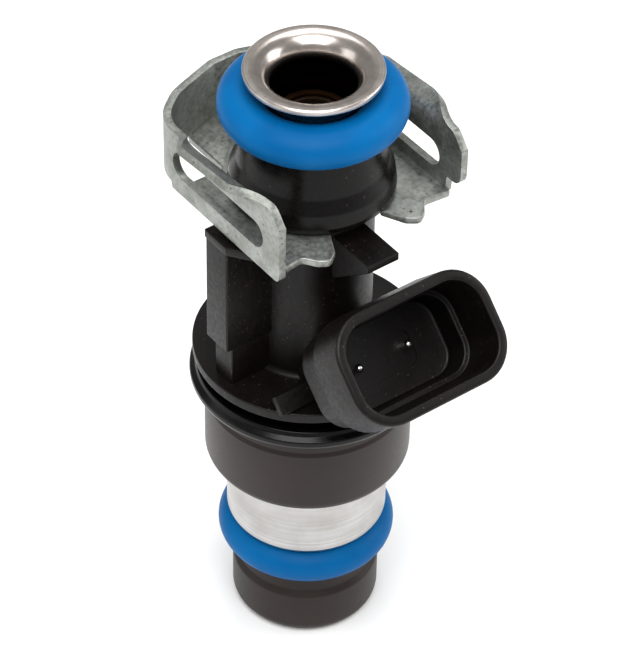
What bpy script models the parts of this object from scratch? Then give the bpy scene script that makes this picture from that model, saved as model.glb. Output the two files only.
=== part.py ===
"""Top-feed fuel injector, built as an assembly of separate pieces.

The origin is the centre of the tip's bottom face. +Z runs up the axis to the fuel inlet, +X is the
side of the electrical connector. Sizes are in millimetres, and MM turns them into metres when a
mesh is made. Heights follow from each other, from the tip upwards, so a changed length moves
everything above it.
"""

import math

import bmesh
import bpy
from mathutils import Matrix, Vector

MM = 0.001

# Facets of round pieces: large ones, small inner ones, and the steps of one rounded corner.
LARGE_SEGMENTS = 32
SMALL_SEGMENTS = 16
CORNER_STEPS = 3

# Clearances
GAP = 0.3
FIT = 0.15
CLOSE_FIT = 0.1

# Soft edges, how far joined shapes run into each other, and how far a cutter runs past a face
SOFT_EDGE = 0.2
JOIN = 0.5
OVERCUT = 1.0

# O-rings, both of one size
O_RING_DIAMETER = 14.6
O_RING_SECTION = 3.53
O_RING_SQUEEZE = 0.3
O_RING_SIDES = 10
SEAL_SIDES = 6

# Tip
RETAINER_RADIUS = 6.03
RETAINER_HEIGHT = 6.2
RETAINER_SHOULDER = 4.3
RETAINER_TOP_RADIUS = 5.3
RETAINER_CORNER = 1.1
RETAINER_BEVEL = 0.4
RETAINER_FLOOR = 0.7
SPRAY_HOLE_RADIUS = 2.1

# Valve body
NOSE_WALL = 0.85
BAND_RADIUS = 6.51
BAND_HEIGHT = 6.0
BAND_CHAMFER = 0.2
BODY_NECK_RADIUS = 5.7

# Seat stack in the nose
SEAT_RETAINER_HEIGHT = 0.7
SEAT_RETAINER_BORE = 1.2
PLATE_THICKNESS = 0.2
PLATE_HOLE_RADIUS = 0.14
PLATE_HOLE_CIRCLE = 0.3
PLATE_HOLES = 4
SEAT_HEIGHT = 2.0
SAC_RADIUS = 0.5
SAC_DEPTH = 1.0
SEAT_SEAL_SECTION = 0.5
GUIDE_HEIGHT = 1.2
FLOW_NOTCHES = 4
FLOW_NOTCH_RADIUS = 0.3

# Moving valve
BALL_RADIUS = 1.2
LIFT = 0.1
NEEDLE_RADIUS = 0.95
NEEDLE_BORE = 0.5
NEEDLE_SLOT_WIDTH = 0.4
NEEDLE_SLOT_START = 1.5
NEEDLE_SLOT_LENGTH = 2.4
ARMATURE_RISE = 1.908
ARMATURE_RADIUS = 3.15
ARMATURE_HEIGHT = 5.6
ARMATURE_OVERLAP = 1.6
ARMATURE_WEB = 0.6
ARMATURE_CHAMFER = 0.3
FUEL_HOLE_RADIUS = 0.6

# Spring, adjusting tube and pole piece
SPRING_RADIUS = 1.2
SPRING_WIRE = 0.4
SPRING_TURNS = 6
SPRING_LENGTH = 8.6
SPRING_END_EASE = 0.35
ADJUSTER_LENGTH = 4.6
ADJUSTER_WALL = 0.6
POLE_HEIGHT = 12.8
POLE_STEP = 0.15
SLEEVE_WALL = 0.3
SLEEVE_HEIGHT = 7.6
SLEEVE_OVERLAP = 3.0

# Coil
BOBBIN_WALL = 0.65
BOBBIN_HEIGHT = 5.2
BOBBIN_FLANGE = 0.9
BOBBIN_SEAL_SECTION = 0.6
FLUX_WASHER_THICKNESS = 0.6

# Steel housing and the ring on it
HOUSING_RADIUS = 8.27
HOUSING_WALL = 1.0
HOUSING_HEIGHT = 7.9
HOUSING_CORNER = 1.0
HOUSING_SHOULDER = 1.75
HOUSING_TOP_STEP = 0.37
END_RING_OVERHANG = 1.18
END_RING_HEIGHT = 1.3
END_RING_BRIM = 0.78
END_RING_RIDGE_STEP = 0.55
END_RING_RIDGE_WIDTH = 0.5
END_RING_GROOVE_DEPTH = 0.3
END_RING_LEDGE = 0.37

# Moulding
STEM_STEP = 0.07
STEM_HEIGHT = 0.95
DISC_OVERHANG = 1.0
DISC_THICKNESS = 0.9
BODY_RADIUS = 4.87
BODY_HEIGHT = 14.5
NECK_LENGTH = 6.6
NECK_WIDTH = 4.1
COLLAR_RADIUS = 6.43
COLLAR_WAIST_RADIUS = 5.8
COLLAR_TOP_RADIUS = 5.3
COLLAR_HEIGHT = 5.7
COLLAR_SKIRT = 2.8
COLLAR_EDGE = 0.4
COLLAR_TAPER = 0.2
COLLAR_FLOOR = 0.8

# Lugs on the moulding: one in front, a ledge, a block and a rib at the left
LUG_REACH = 9.0
LUG_WIDTH = 2.88
LUG_THICKNESS = 0.65
LUG_DROP = 0.4
GUSSET_DEPTH = 3.3
BLOCK_REACH = 9.0
BLOCK_WIDTH = 2.8
BLOCK_HEIGHT = 10.7
LEDGE_THICKNESS = 0.8
LEDGE_OVERHANG = 1.8
LEDGE_SLANT = 1.3
LUG_ROOT = 2.5
RIB_REACH = 8.25

# Connector, on an axis tilted up from +X
CONNECTOR_TILT = 45.0
CONNECTOR_REACH = 14.1
CONNECTOR_RISE = 9.15
CONNECTOR_WIDTH = 14.15
CONNECTOR_DEPTH = 9.06
CONNECTOR_CORNER = 3.3
CONNECTOR_WALL = 0.85
BARREL_LENGTH = 4.1
BARREL_STEP = 0.75
TRUNK_LENGTH = 7.7
TRUNK_ROOT_WIDTH = 7.2
TRUNK_ROOT_DEPTH = 17.94
SOCKET_DEPTH = 7.1
SOCKET_STEP_DEPTH = 4.6
SOCKET_STEP = 0.5
PIN_WELL_DEPTH = 9.0
PIN_WELL_WIDTH = 6.1
PIN_WELL_HEIGHT = 3.0
PIN_WELL_CORNER = 0.8
WING_SPAN = 14.6
WING_HEIGHT = 1.6
WING_THICKNESS = 0.7
WING_REACH = 5.6

# Contact pins
PIN_RADIUS = 0.36
PIN_SPACING = 4.7
PIN_OFFSET = 0.2
PIN_DEPTH = 6.1
PIN_LEG_REACH = 5.0
PIN_BEND = 1.0
PIN_SIDES = 10

# Inlet tube and filter
TUBE_WALL = 0.4
TUBE_WAIST_RADIUS = 1.55
TUBE_WAIST_BORE = 1.15
TUBE_INSERTION = 1.6
RIM_RADIUS = 5.32
RIM_RISE = 1.55
RIM_THICKNESS = 0.5
RIM_FLAT = 1.1
TUBE_CONE = 0.7
FILTER_HEIGHT = 3.8
FILTER_RING_HEIGHT = 0.8
FILTER_CAP_HEIGHT = 0.4
FILTER_RIBS = 3
FILTER_RIB_WIDTH = 0.6
FILTER_WALL = 0.5
FILTER_CAP_STEP = 0.1
SCREEN_WALL = 0.3

# Retaining clip
SHEET = 0.62
CLIP_HALF_WIDTH = 8.5
CLIP_FRONT = 7.8
CLIP_PLATE_FRONT = 6.3
CLIP_PLATE_CORNER = 0.45
CLIP_TAB_REACH = 7.85
CLIP_BACK = 11.7
CLIP_CORNER = 7.9
CLIP_SHOULDER_BACK = 10.2
CLIP_SHOULDER_WIDTH = 5.6
CLIP_WALL_HEIGHT = 5.6
CLIP_FRONT_RISE = 0.9
CLIP_FRONT_NOTCH = 1.8
CLIP_REAR_NOTCH = 0.7
CLIP_REAR_STEP = 6.3
CLIP_FRONT_DROP = 1.5
CLIP_STEP_RUN = 0.1
CLIP_PITCH = 1.3
CLIP_SLOT_HALF_WIDTH = 3.6
CLIP_MOUTH_CLEARANCE = 0.3
CLIP_MOUTH_REACH = 5.3
CLIP_WINDOW_BACK = -6.1
CLIP_WINDOW_FRONT = 5.4
CLIP_WINDOW_BOTTOM = 1.75
CLIP_WINDOW_HEIGHT = 2.4
CLIP_TONGUE_WIDTH = 8.6
CLIP_TONGUE_ROOT = 5.5
LIP_LENGTH = 2.3
LIP_ANGLE = 60.0
LIP_BACK = -5.5
LIP_FRONT = 4.5
LIP_RUN = 2.2

# Radii that follow the housing's
HOUSING_BORE = HOUSING_RADIUS - HOUSING_WALL
HOUSING_TOP_RADIUS = HOUSING_RADIUS - HOUSING_TOP_STEP
END_RING_RADIUS = HOUSING_RADIUS + END_RING_OVERHANG
END_RING_RIDGE_RADIUS = END_RING_RADIUS - END_RING_RIDGE_STEP
END_RING_BORE = HOUSING_BORE - END_RING_LEDGE
STEM_RADIUS = HOUSING_RADIUS - STEM_STEP
DISC_RADIUS = STEM_RADIUS + DISC_OVERHANG

# Heights along the axis, from the tip upwards, with the radii of what fits inside
O_RING_HALF_HEIGHT = (O_RING_SECTION - O_RING_SQUEEZE) / 2
O_RING_BORE = O_RING_DIAMETER / 2 - O_RING_SECTION
NOSE_RADIUS = O_RING_BORE - GAP
NOSE_BORE = NOSE_RADIUS - NOSE_WALL
NOSE_BOTTOM = RETAINER_FLOOR + GAP
LOWER_RING_Z = RETAINER_HEIGHT + GAP + O_RING_HALF_HEIGHT
BAND_BOTTOM = LOWER_RING_Z + O_RING_HALF_HEIGHT + GAP
BAND_TOP = BAND_BOTTOM + BAND_HEIGHT

STACK_RADIUS = NOSE_BORE - FIT
PLATE_BOTTOM = NOSE_BOTTOM + SEAT_RETAINER_HEIGHT + FIT
SEAT_BOTTOM = PLATE_BOTTOM + PLATE_THICKNESS + FIT
SEAT_TOP = SEAT_BOTTOM + SEAT_HEIGHT
SEAT_CONE_APEX = SEAT_BOTTOM + SAC_DEPTH - SAC_RADIUS
BALL_Z = SEAT_CONE_APEX + (BALL_RADIUS + CLOSE_FIT) * math.sqrt(2)
GUIDE_BOTTOM = SEAT_TOP + FIT
NEEDLE_BOTTOM = BALL_Z + math.sqrt((BALL_RADIUS + CLOSE_FIT) ** 2 - NEEDLE_BORE**2)
ARMATURE_TOP = BAND_TOP + ARMATURE_RISE
ARMATURE_BOTTOM = ARMATURE_TOP - ARMATURE_HEIGHT
NEEDLE_TOP = ARMATURE_BOTTOM + ARMATURE_OVERLAP
NEEDLE_LENGTH = NEEDLE_TOP - NEEDLE_BOTTOM
SPRING_SEAT = NEEDLE_TOP + FIT + ARMATURE_WEB
SPRING_OUTER = SPRING_RADIUS + SPRING_WIRE / 2
SPRING_BORE = SPRING_OUTER + 2 * FIT
SPRING_BOTTOM = SPRING_SEAT + FIT
SPRING_TOP = SPRING_BOTTOM + SPRING_LENGTH

POLE_BOTTOM = ARMATURE_TOP + LIFT + CLOSE_FIT
POLE_TOP = POLE_BOTTOM + POLE_HEIGHT
SLEEVE_BORE = ARMATURE_RADIUS + FIT
SLEEVE_RADIUS = SLEEVE_BORE + SLEEVE_WALL
SLEEVE_BOTTOM = ARMATURE_TOP - SLEEVE_OVERLAP
SLEEVE_TOP = SLEEVE_BOTTOM + SLEEVE_HEIGHT
POLE_RADIUS = SLEEVE_RADIUS + POLE_STEP
ADJUSTER_BOTTOM = SPRING_TOP + FIT

HOUSING_BOTTOM = BAND_TOP + GAP
HOUSING_TOP = HOUSING_BOTTOM + HOUSING_HEIGHT
BODY_NECK_TOP = HOUSING_BOTTOM + HOUSING_WALL
BOBBIN_BOTTOM = BODY_NECK_TOP + GAP
BOBBIN_TOP = BOBBIN_BOTTOM + BOBBIN_HEIGHT
BOBBIN_BORE = SLEEVE_RADIUS + FIT
FLANGE_RADIUS = HOUSING_BORE - GAP
FLUX_BOTTOM = BOBBIN_TOP + FIT
FLUX_TOP = FLUX_BOTTOM + FLUX_WASHER_THICKNESS

END_RING_BOTTOM = HOUSING_TOP + GAP
END_RING_TOP = END_RING_BOTTOM + END_RING_HEIGHT
SPIGOT_RADIUS = END_RING_BORE - GAP
SPIGOT_BOTTOM = FLUX_TOP + GAP
STEM_BOTTOM = END_RING_TOP + GAP
DISC_BOTTOM = STEM_BOTTOM + STEM_HEIGHT
DISC_TOP = DISC_BOTTOM + DISC_THICKNESS
BODY_TOP = DISC_TOP + BODY_HEIGHT
CLIP_BOTTOM = BODY_TOP + GAP
CLIP_PLATE_TOP = CLIP_BOTTOM + SHEET
COLLAR_BOTTOM = CLIP_PLATE_TOP + GAP
COLLAR_TOP = COLLAR_BOTTOM + COLLAR_HEIGHT

UPPER_RING_Z = COLLAR_TOP + GAP + O_RING_HALF_HEIGHT
RIM_TOP = UPPER_RING_Z + O_RING_HALF_HEIGHT + RIM_RISE
TUBE_RADIUS = O_RING_BORE - GAP
TUBE_BORE = TUBE_RADIUS - TUBE_WALL
TUBE_STEP = COLLAR_BOTTOM + COLLAR_FLOOR + FIT
TUBE_CONE_TOP = TUBE_STEP + 2 * TUBE_CONE
FILTER_BOTTOM = TUBE_CONE_TOP + GAP
FILTER_TOP = FILTER_BOTTOM + FILTER_HEIGHT


# ---------------------------------------------------------------------------------------------
# Modelling helpers


def clear_scene():
    """Remove every object of the startup scene."""
    for obj in list(bpy.data.objects):
        bpy.data.objects.remove(obj, do_unlink=True)


def finish(name, color, roughness, metallic):
    """A Principled material with one colour, roughness and metallic value."""
    material = bpy.data.materials.new(name)
    material.use_nodes = True
    shader = material.node_tree.nodes["Principled BSDF"]
    shader.inputs["Base Color"].default_value = (*color, 1.0)
    shader.inputs["Roughness"].default_value = roughness
    shader.inputs["Metallic"].default_value = metallic
    return material


def mesh_object(name, bm, material=None, z=0.0):
    """Turn a bmesh in millimetres into a smooth-shaded object in metres, placed at height z."""
    bmesh.ops.remove_doubles(bm, verts=bm.verts, dist=1e-5)
    bmesh.ops.recalc_face_normals(bm, faces=bm.faces)
    bmesh.ops.scale(bm, vec=(MM, MM, MM), verts=bm.verts)
    mesh = bpy.data.meshes.new(name)
    bm.to_mesh(mesh)
    bm.free()
    mesh.shade_smooth()
    mesh.set_sharp_from_angle(angle=math.radians(35))
    obj = bpy.data.objects.new(name, mesh)
    obj.location.z = z * MM
    bpy.context.scene.collection.objects.link(obj)
    if material:
        mesh.materials.append(material)
    return obj


def turned(name, profile, material=None, z=0.0, segments=LARGE_SEGMENTS):
    """Spin a closed outline of (radius, height) points round the Z axis."""
    bm = bmesh.new()
    points = [bm.verts.new((radius, 0.0, height)) for radius, height in profile]
    edges = [bm.edges.new((a, b)) for a, b in zip(points, points[1:] + points[:1])
             if a.co.x > 0 or b.co.x > 0]
    bmesh.ops.spin(bm, geom=points + edges, axis=(0, 0, 1), cent=(0, 0, 0),
                   steps=segments, angle=2 * math.pi, use_merge=True)
    return mesh_object(name, bm, material, z)


def extruded(name, outline, height, frame=None, material=None):
    """Extrude a flat outline from local height 0 to height, then place it with a frame matrix."""
    bm = bmesh.new()
    base = bm.faces.new([bm.verts.new((x, y, 0.0)) for x, y in outline])
    side = bmesh.ops.extrude_face_region(bm, geom=[base])
    top = [v for v in side["geom"] if isinstance(v, bmesh.types.BMVert)]
    bmesh.ops.translate(bm, vec=(0, 0, height), verts=top)
    bm.faces.ensure_lookup_table()
    bmesh.ops.triangulate(bm, faces=[f for f in bm.faces if len(f.verts) > 4])
    if frame is not None:
        bmesh.ops.transform(bm, matrix=frame, verts=bm.verts)
    return mesh_object(name, bm, material)


def swept_bar(name, path, radius, sides, material=None):
    """Round bar along a path, with its rings carried along without twist and both ends capped."""
    bm = bmesh.new()
    rings = []
    normal = (path[1] - path[0]).orthogonal().normalized()
    for index, point in enumerate(path):
        ahead = path[min(index + 1, len(path) - 1)]
        behind = path[max(index - 1, 0)]
        tangent = (ahead - behind).normalized()
        normal = (normal - tangent * normal.dot(tangent)).normalized()
        across = tangent.cross(normal)
        angles = [2 * math.pi * step / sides for step in range(sides)]
        ring = [point + radius * (math.cos(a) * normal + math.sin(a) * across) for a in angles]
        rings.append([bm.verts.new(position) for position in ring])
    for lower, upper in zip(rings, rings[1:]):
        for k in range(sides):
            after = (k + 1) % sides
            bm.faces.new((lower[k], lower[after], upper[after], upper[k]))
    bm.faces.new(rings[0])
    bm.faces.new(rings[-1])
    return mesh_object(name, bm, material)


def sheet_between(name, outer, inner):
    """Closed solid between two grids of points: their faces, and a rim round the border."""
    bm = bmesh.new()
    skins = [[[bm.verts.new(p) for p in column] for column in grid] for grid in (outer, inner)]
    columns, rows = len(outer), len(outer[0])
    for skin in skins:
        for i in range(columns - 1):
            for j in range(rows - 1):
                bm.faces.new((skin[i][j], skin[i + 1][j], skin[i + 1][j + 1], skin[i][j + 1]))
    border = [(i, 0) for i in range(columns)] + [(columns - 1, j) for j in range(1, rows)]
    border += [(i, rows - 1) for i in range(columns - 2, -1, -1)]
    border += [(0, j) for j in range(rows - 2, 0, -1)]
    for (i, j), (k, m) in zip(border, border[1:] + border[:1]):
        bm.faces.new((skins[0][i][j], skins[0][k][m], skins[1][k][m], skins[1][i][j]))
    return mesh_object(name, bm)


def combine(target, helper, operation):
    """Add, cut or intersect with a helper solid, and keep the helper out of the result."""
    modifier = target.modifiers.new(f"{operation.lower()} {helper.name}", "BOOLEAN")
    modifier.operation = operation
    modifier.solver = "EXACT"
    modifier.object = helper
    helper.hide_render = True
    helper.display_type = "WIRE"


def rounded(corners, steps=CORNER_STEPS):
    """Outline in which each (x, y, radius) corner is replaced by an arc tangent to both sides."""
    outline = []
    for index, (x, y, radius) in enumerate(corners):
        corner = Vector((x, y))
        if radius <= 0:
            outline.append((x, y))
            continue
        before = (Vector(corners[index - 1][:2]) - corner).normalized()
        after = (Vector(corners[(index + 1) % len(corners)][:2]) - corner).normalized()
        half = before.angle(after) / 2
        middle = corner + (before + after).normalized() * (radius / math.sin(half))
        start = corner + before * (radius / math.tan(half)) - middle
        end = corner + after * (radius / math.tan(half)) - middle
        for step in range(steps + 1):
            share = step / steps
            arm = start.slerp(end, share) if start.angle(end) > 1e-3 else start
            outline.append(tuple(middle + arm.normalized() * radius))
    return outline


def arc(cx, cy, radius, start, end, steps):
    """Points on an arc about (cx, cy), with angles in degrees."""
    angles = [math.radians(start + (end - start) * step / steps) for step in range(steps + 1)]
    return [(cx + radius * math.cos(a), cy + radius * math.sin(a)) for a in angles]


def rounded_rectangle(width, height, radius, steps=CORNER_STEPS + 1):
    """Outline centred on the origin."""
    x, y = width / 2, height / 2
    return rounded([(x, -y, radius), (x, y, radius), (-x, y, radius), (-x, -y, radius)], steps)


def ring_section(radius, half_width, half_height, sides):
    """Oval section of an O-ring, centred at a radius and at height 0."""
    angles = [2 * math.pi * (side + 0.5) / sides for side in range(sides)]
    return [(radius + half_width * math.cos(a), half_height * math.sin(a)) for a in angles]


def upright(x, y, z):
    """Frame for an outline in the X-Y plane."""
    return Matrix.Translation((x, y, z))


def sideways(width):
    """Frame for an outline in the X-Z plane, extruded across Y and centred on it."""
    return Matrix.Translation((0, width / 2, 0)) @ Matrix.Rotation(math.radians(90), 4, "X")


def connector_frame(depth):
    """Frame whose local X is +Y, local Y is the connector's short side and local Z its axis."""
    tilt = math.radians(CONNECTOR_TILT)
    axis = Vector((math.cos(tilt), 0, math.sin(tilt)))
    short = Vector((-math.sin(tilt), 0, math.cos(tilt)))
    origin = Vector((CONNECTOR_REACH, 0, DISC_TOP + CONNECTOR_RISE)) - axis * depth
    columns = (Vector((0, 1, 0)), short, axis)
    rotation = Matrix([[column[row] for column in columns] for row in range(3)]).to_4x4()
    return Matrix.Translation(origin) @ rotation


# ---------------------------------------------------------------------------------------------
# Tip, seals and valve body


def make_o_ring(name, z, material):
    """O-ring, squeezed a little along its axis so that it clears both shoulders."""
    section = ring_section(O_RING_BORE + O_RING_SECTION / 2, O_RING_SECTION / 2,
                           O_RING_HALF_HEIGHT, O_RING_SIDES)
    return turned(name, section, material, z)


def make_tip_retainer(material):
    """Cap on the tip, which keeps the lower O-ring in its groove."""
    bore = NOSE_RADIUS + GAP
    profile = rounded([
        (SPRAY_HOLE_RADIUS, 0, 0), (RETAINER_RADIUS, 0, RETAINER_CORNER),
        (RETAINER_RADIUS, RETAINER_SHOULDER, SOFT_EDGE),
        (RETAINER_TOP_RADIUS, RETAINER_SHOULDER + RETAINER_BEVEL, SOFT_EDGE),
        (RETAINER_TOP_RADIUS, RETAINER_HEIGHT, SOFT_EDGE), (bore, RETAINER_HEIGHT, 0),
        (bore, RETAINER_FLOOR, 0), (SPRAY_HOLE_RADIUS, RETAINER_FLOOR, 0)], 2)
    return turned("tip_retainer", profile, material)


def make_valve_body(material):
    """Stainless body: the nose that holds the seat, the bright band and the neck in the housing."""
    armature_room = ARMATURE_RADIUS + GAP
    chamber_bottom = ARMATURE_BOTTOM - GAP
    sleeve_room = SLEEVE_RADIUS + FIT
    profile = [
        (NOSE_BORE, NOSE_BOTTOM), (NOSE_RADIUS, NOSE_BOTTOM), (NOSE_RADIUS, BAND_BOTTOM),
        (BAND_RADIUS - BAND_CHAMFER, BAND_BOTTOM), (BAND_RADIUS, BAND_BOTTOM + BAND_CHAMFER),
        (BAND_RADIUS, BAND_TOP), (BODY_NECK_RADIUS, BAND_TOP), (BODY_NECK_RADIUS, BODY_NECK_TOP),
        (sleeve_room, BODY_NECK_TOP), (sleeve_room, SLEEVE_BOTTOM - FIT),
        (armature_room, SLEEVE_BOTTOM - FIT), (armature_room, chamber_bottom),
        (NOSE_BORE, chamber_bottom)]
    return turned("valve_body", profile, material)


def make_seat_stack(steel, plate_steel, seal_rubber):
    """Ring, spray plate, seat, its seal and the ball's guide, one above the other in the nose."""
    turned("seat_retainer_ring", [
        (SEAT_RETAINER_BORE, 0), (STACK_RADIUS, 0), (STACK_RADIUS, SEAT_RETAINER_HEIGHT),
        (SEAT_RETAINER_BORE, SEAT_RETAINER_HEIGHT)], steel, NOSE_BOTTOM, SMALL_SEGMENTS)

    plate = turned("director_plate", [(0, 0), (STACK_RADIUS, 0), (STACK_RADIUS, PLATE_THICKNESS),
                                      (0, PLATE_THICKNESS)], plate_steel, PLATE_BOTTOM, SMALL_SEGMENTS)
    for index in range(PLATE_HOLES):
        angle = 2 * math.pi * (index + 0.5) / PLATE_HOLES
        hole = extruded(f"plate_hole_{index}", arc(0, 0, PLATE_HOLE_RADIUS, 0, 300, 5),
                        PLATE_THICKNESS + 2 * OVERCUT,
                        upright(PLATE_HOLE_CIRCLE * math.cos(angle), PLATE_HOLE_CIRCLE * math.sin(angle),
                                PLATE_BOTTOM - OVERCUT))
        combine(plate, hole, "DIFFERENCE")

    groove_bottom = SEAT_HEIGHT / 2 - SEAT_SEAL_SECTION / 2 - FIT
    groove_top = SEAT_HEIGHT - groove_bottom
    seal_radius = NOSE_BORE - CLOSE_FIT - SEAT_SEAL_SECTION / 2
    groove_radius = seal_radius - SEAT_SEAL_SECTION / 2 - CLOSE_FIT
    cone_top = SEAT_TOP - SEAT_CONE_APEX
    turned("valve_seat", [
        (SAC_RADIUS, 0), (STACK_RADIUS, 0), (STACK_RADIUS, groove_bottom),
        (groove_radius, groove_bottom), (groove_radius, groove_top), (STACK_RADIUS, groove_top),
        (STACK_RADIUS, SEAT_HEIGHT), (cone_top, SEAT_HEIGHT), (SAC_RADIUS, SAC_DEPTH)],
        steel, SEAT_BOTTOM, SMALL_SEGMENTS)
    half = SEAT_SEAL_SECTION / 2
    turned("seat_seal", ring_section(seal_radius, half, half, SEAL_SIDES), seal_rubber,
           SEAT_BOTTOM + SEAT_HEIGHT / 2, SMALL_SEGMENTS)

    guide_bore = BALL_RADIUS + CLOSE_FIT
    guide = turned("guide_ring", [
        (guide_bore, 0), (STACK_RADIUS, 0), (STACK_RADIUS, GUIDE_HEIGHT), (guide_bore, GUIDE_HEIGHT)],
        steel, GUIDE_BOTTOM, SMALL_SEGMENTS)
    for index in range(FLOW_NOTCHES):
        angle = 2 * math.pi * (index + 0.5) / FLOW_NOTCHES
        notch = extruded(f"flow_notch_{index}", arc(0, 0, FLOW_NOTCH_RADIUS, 0, 315, 7),
                         GUIDE_HEIGHT + 2 * OVERCUT,
                         upright(guide_bore * math.cos(angle), guide_bore * math.sin(angle),
                                 GUIDE_BOTTOM - OVERCUT))
        combine(guide, notch, "DIFFERENCE")


# ---------------------------------------------------------------------------------------------
# Moving valve, spring and magnet


def make_valve(steel, ball_steel, armature_steel):
    """Ball, hollow needle and armature, which lift together off the seat."""
    axis = bpy.data.objects.new("valve_lift_axis", None)
    axis.location.z = BALL_Z * MM
    bpy.context.scene.collection.objects.link(axis)

    ball = turned("valve_ball", [(0, -BALL_RADIUS)] + arc(0, 0, BALL_RADIUS, -67.5, 67.5, 6)
                  + [(0, BALL_RADIUS)], ball_steel, BALL_Z, SMALL_SEGMENTS)
    needle = turned("valve_needle", [
        (NEEDLE_BORE, 0), (NEEDLE_RADIUS, 0), (NEEDLE_RADIUS, NEEDLE_LENGTH),
        (NEEDLE_BORE, NEEDLE_LENGTH)], steel, NEEDLE_BOTTOM, SMALL_SEGMENTS)
    slot = extruded("needle_slot", rounded_rectangle(2 * OVERCUT, NEEDLE_SLOT_WIDTH, 0.0),
                    NEEDLE_SLOT_LENGTH, upright(OVERCUT, 0, NEEDLE_BOTTOM + NEEDLE_SLOT_START))
    combine(needle, slot, "DIFFERENCE")

    needle_room = NEEDLE_RADIUS + CLOSE_FIT
    web_bottom = NEEDLE_TOP + FIT - ARMATURE_BOTTOM
    web_top = web_bottom + ARMATURE_WEB
    armature = turned("armature", [
        (needle_room, 0), (ARMATURE_RADIUS - ARMATURE_CHAMFER, 0), (ARMATURE_RADIUS, ARMATURE_CHAMFER),
        (ARMATURE_RADIUS, ARMATURE_HEIGHT), (SPRING_BORE, ARMATURE_HEIGHT), (SPRING_BORE, web_top),
        (FUEL_HOLE_RADIUS, web_top), (FUEL_HOLE_RADIUS, web_bottom), (needle_room, web_bottom)],
        armature_steel, ARMATURE_BOTTOM, SMALL_SEGMENTS)
    for piece in (ball, needle, armature):
        piece.parent = axis
        piece.location.z -= axis.location.z


def make_return_spring(steel):
    """Helical spring with its ends lying almost flat."""
    steps_per_turn = 12
    count = SPRING_TURNS * steps_per_turn
    height = SPRING_LENGTH - SPRING_WIRE
    path = []
    for step in range(count + 1):
        share = step / count
        eased = share - math.sin(4 * math.pi * share) / (4 * math.pi) * SPRING_END_EASE
        angle = 2 * math.pi * step / steps_per_turn
        path.append(Vector((SPRING_RADIUS * math.cos(angle), SPRING_RADIUS * math.sin(angle),
                            SPRING_BOTTOM + SPRING_WIRE / 2 + height * eased)))
    return swept_bar("return_spring", path, SPRING_WIRE / 2, 5, steel)


def make_magnet_core(pole_steel, sleeve_steel, tube_steel):
    """Pole piece, the sleeve round its lower end and the adjusting tube in its bore."""
    sleeve_room = SLEEVE_RADIUS - SLEEVE_WALL - FIT
    shoulder = SLEEVE_TOP + FIT - POLE_BOTTOM
    turned("pole_piece", [
        (SPRING_BORE, 0), (sleeve_room, 0), (sleeve_room, shoulder), (POLE_RADIUS, shoulder),
        (POLE_RADIUS, POLE_HEIGHT), (SPRING_BORE, POLE_HEIGHT)], pole_steel, POLE_BOTTOM,
        SMALL_SEGMENTS)
    turned("nonmagnetic_sleeve", [
        (SLEEVE_BORE, 0), (SLEEVE_RADIUS, 0), (SLEEVE_RADIUS, SLEEVE_HEIGHT),
        (SLEEVE_BORE, SLEEVE_HEIGHT)], sleeve_steel, SLEEVE_BOTTOM, SMALL_SEGMENTS)
    tube_radius = SPRING_BORE - FIT
    turned("adjusting_tube", [
        (tube_radius - ADJUSTER_WALL, 0), (tube_radius, 0), (tube_radius, ADJUSTER_LENGTH),
        (tube_radius - ADJUSTER_WALL, ADJUSTER_LENGTH)], tube_steel, ADJUSTER_BOTTOM, SMALL_SEGMENTS)


def pin_leg(side):
    """Place of a contact pin's upright leg in the X-Y plane."""
    return PIN_LEG_REACH, side * PIN_SPACING / 2


def make_coil(bobbin_plastic, copper, washer_steel, seal_rubber):
    """Bobbin, winding, the seals at both ends and the washer that closes the magnetic circuit."""
    barrel = BOBBIN_BORE + BOBBIN_WALL
    seal_room = BOBBIN_BORE + BOBBIN_SEAL_SECTION + 2 * FIT
    seal_depth = BOBBIN_SEAL_SECTION + FIT
    top = BOBBIN_HEIGHT
    turned("coil_bobbin", [
        (BOBBIN_BORE, seal_depth), (seal_room, seal_depth), (seal_room, 0), (FLANGE_RADIUS, 0),
        (FLANGE_RADIUS, BOBBIN_FLANGE), (barrel, BOBBIN_FLANGE), (barrel, top - BOBBIN_FLANGE),
        (FLANGE_RADIUS, top - BOBBIN_FLANGE), (FLANGE_RADIUS, top), (seal_room, top),
        (seal_room, top - seal_depth), (BOBBIN_BORE, top - seal_depth)], bobbin_plastic,
        BOBBIN_BOTTOM)
    turned("coil_winding", [
        (barrel + CLOSE_FIT, 0), (FLANGE_RADIUS - GAP, 0),
        (FLANGE_RADIUS - GAP, top - 2 * BOBBIN_FLANGE - 2 * CLOSE_FIT),
        (barrel + CLOSE_FIT, top - 2 * BOBBIN_FLANGE - 2 * CLOSE_FIT)], copper,
        BOBBIN_BOTTOM + BOBBIN_FLANGE + CLOSE_FIT)

    half = BOBBIN_SEAL_SECTION / 2
    section = ring_section((SLEEVE_RADIUS + seal_room) / 2, half, half, SEAL_SIDES)
    turned("bobbin_seal_lower", section, seal_rubber, BOBBIN_BOTTOM + seal_depth / 2, SMALL_SEGMENTS)
    turned("bobbin_seal_upper", section, seal_rubber, BOBBIN_TOP - seal_depth / 2, SMALL_SEGMENTS)

    washer_bore = POLE_RADIUS + FIT
    washer = turned("flux_washer", [
        (washer_bore, 0), (FLANGE_RADIUS, 0), (FLANGE_RADIUS, FLUX_WASHER_THICKNESS),
        (washer_bore, FLUX_WASHER_THICKNESS)], washer_steel, FLUX_BOTTOM)
    for side in (-1, 1):
        x, y = pin_leg(side)
        hole = extruded(f"washer_hole_{side}", arc(0, 0, PIN_RADIUS + GAP, 0, 315, 7),
                        FLUX_WASHER_THICKNESS + 2 * OVERCUT, upright(x, y, FLUX_BOTTOM - OVERCUT))
        combine(washer, hole, "DIFFERENCE")


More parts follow.
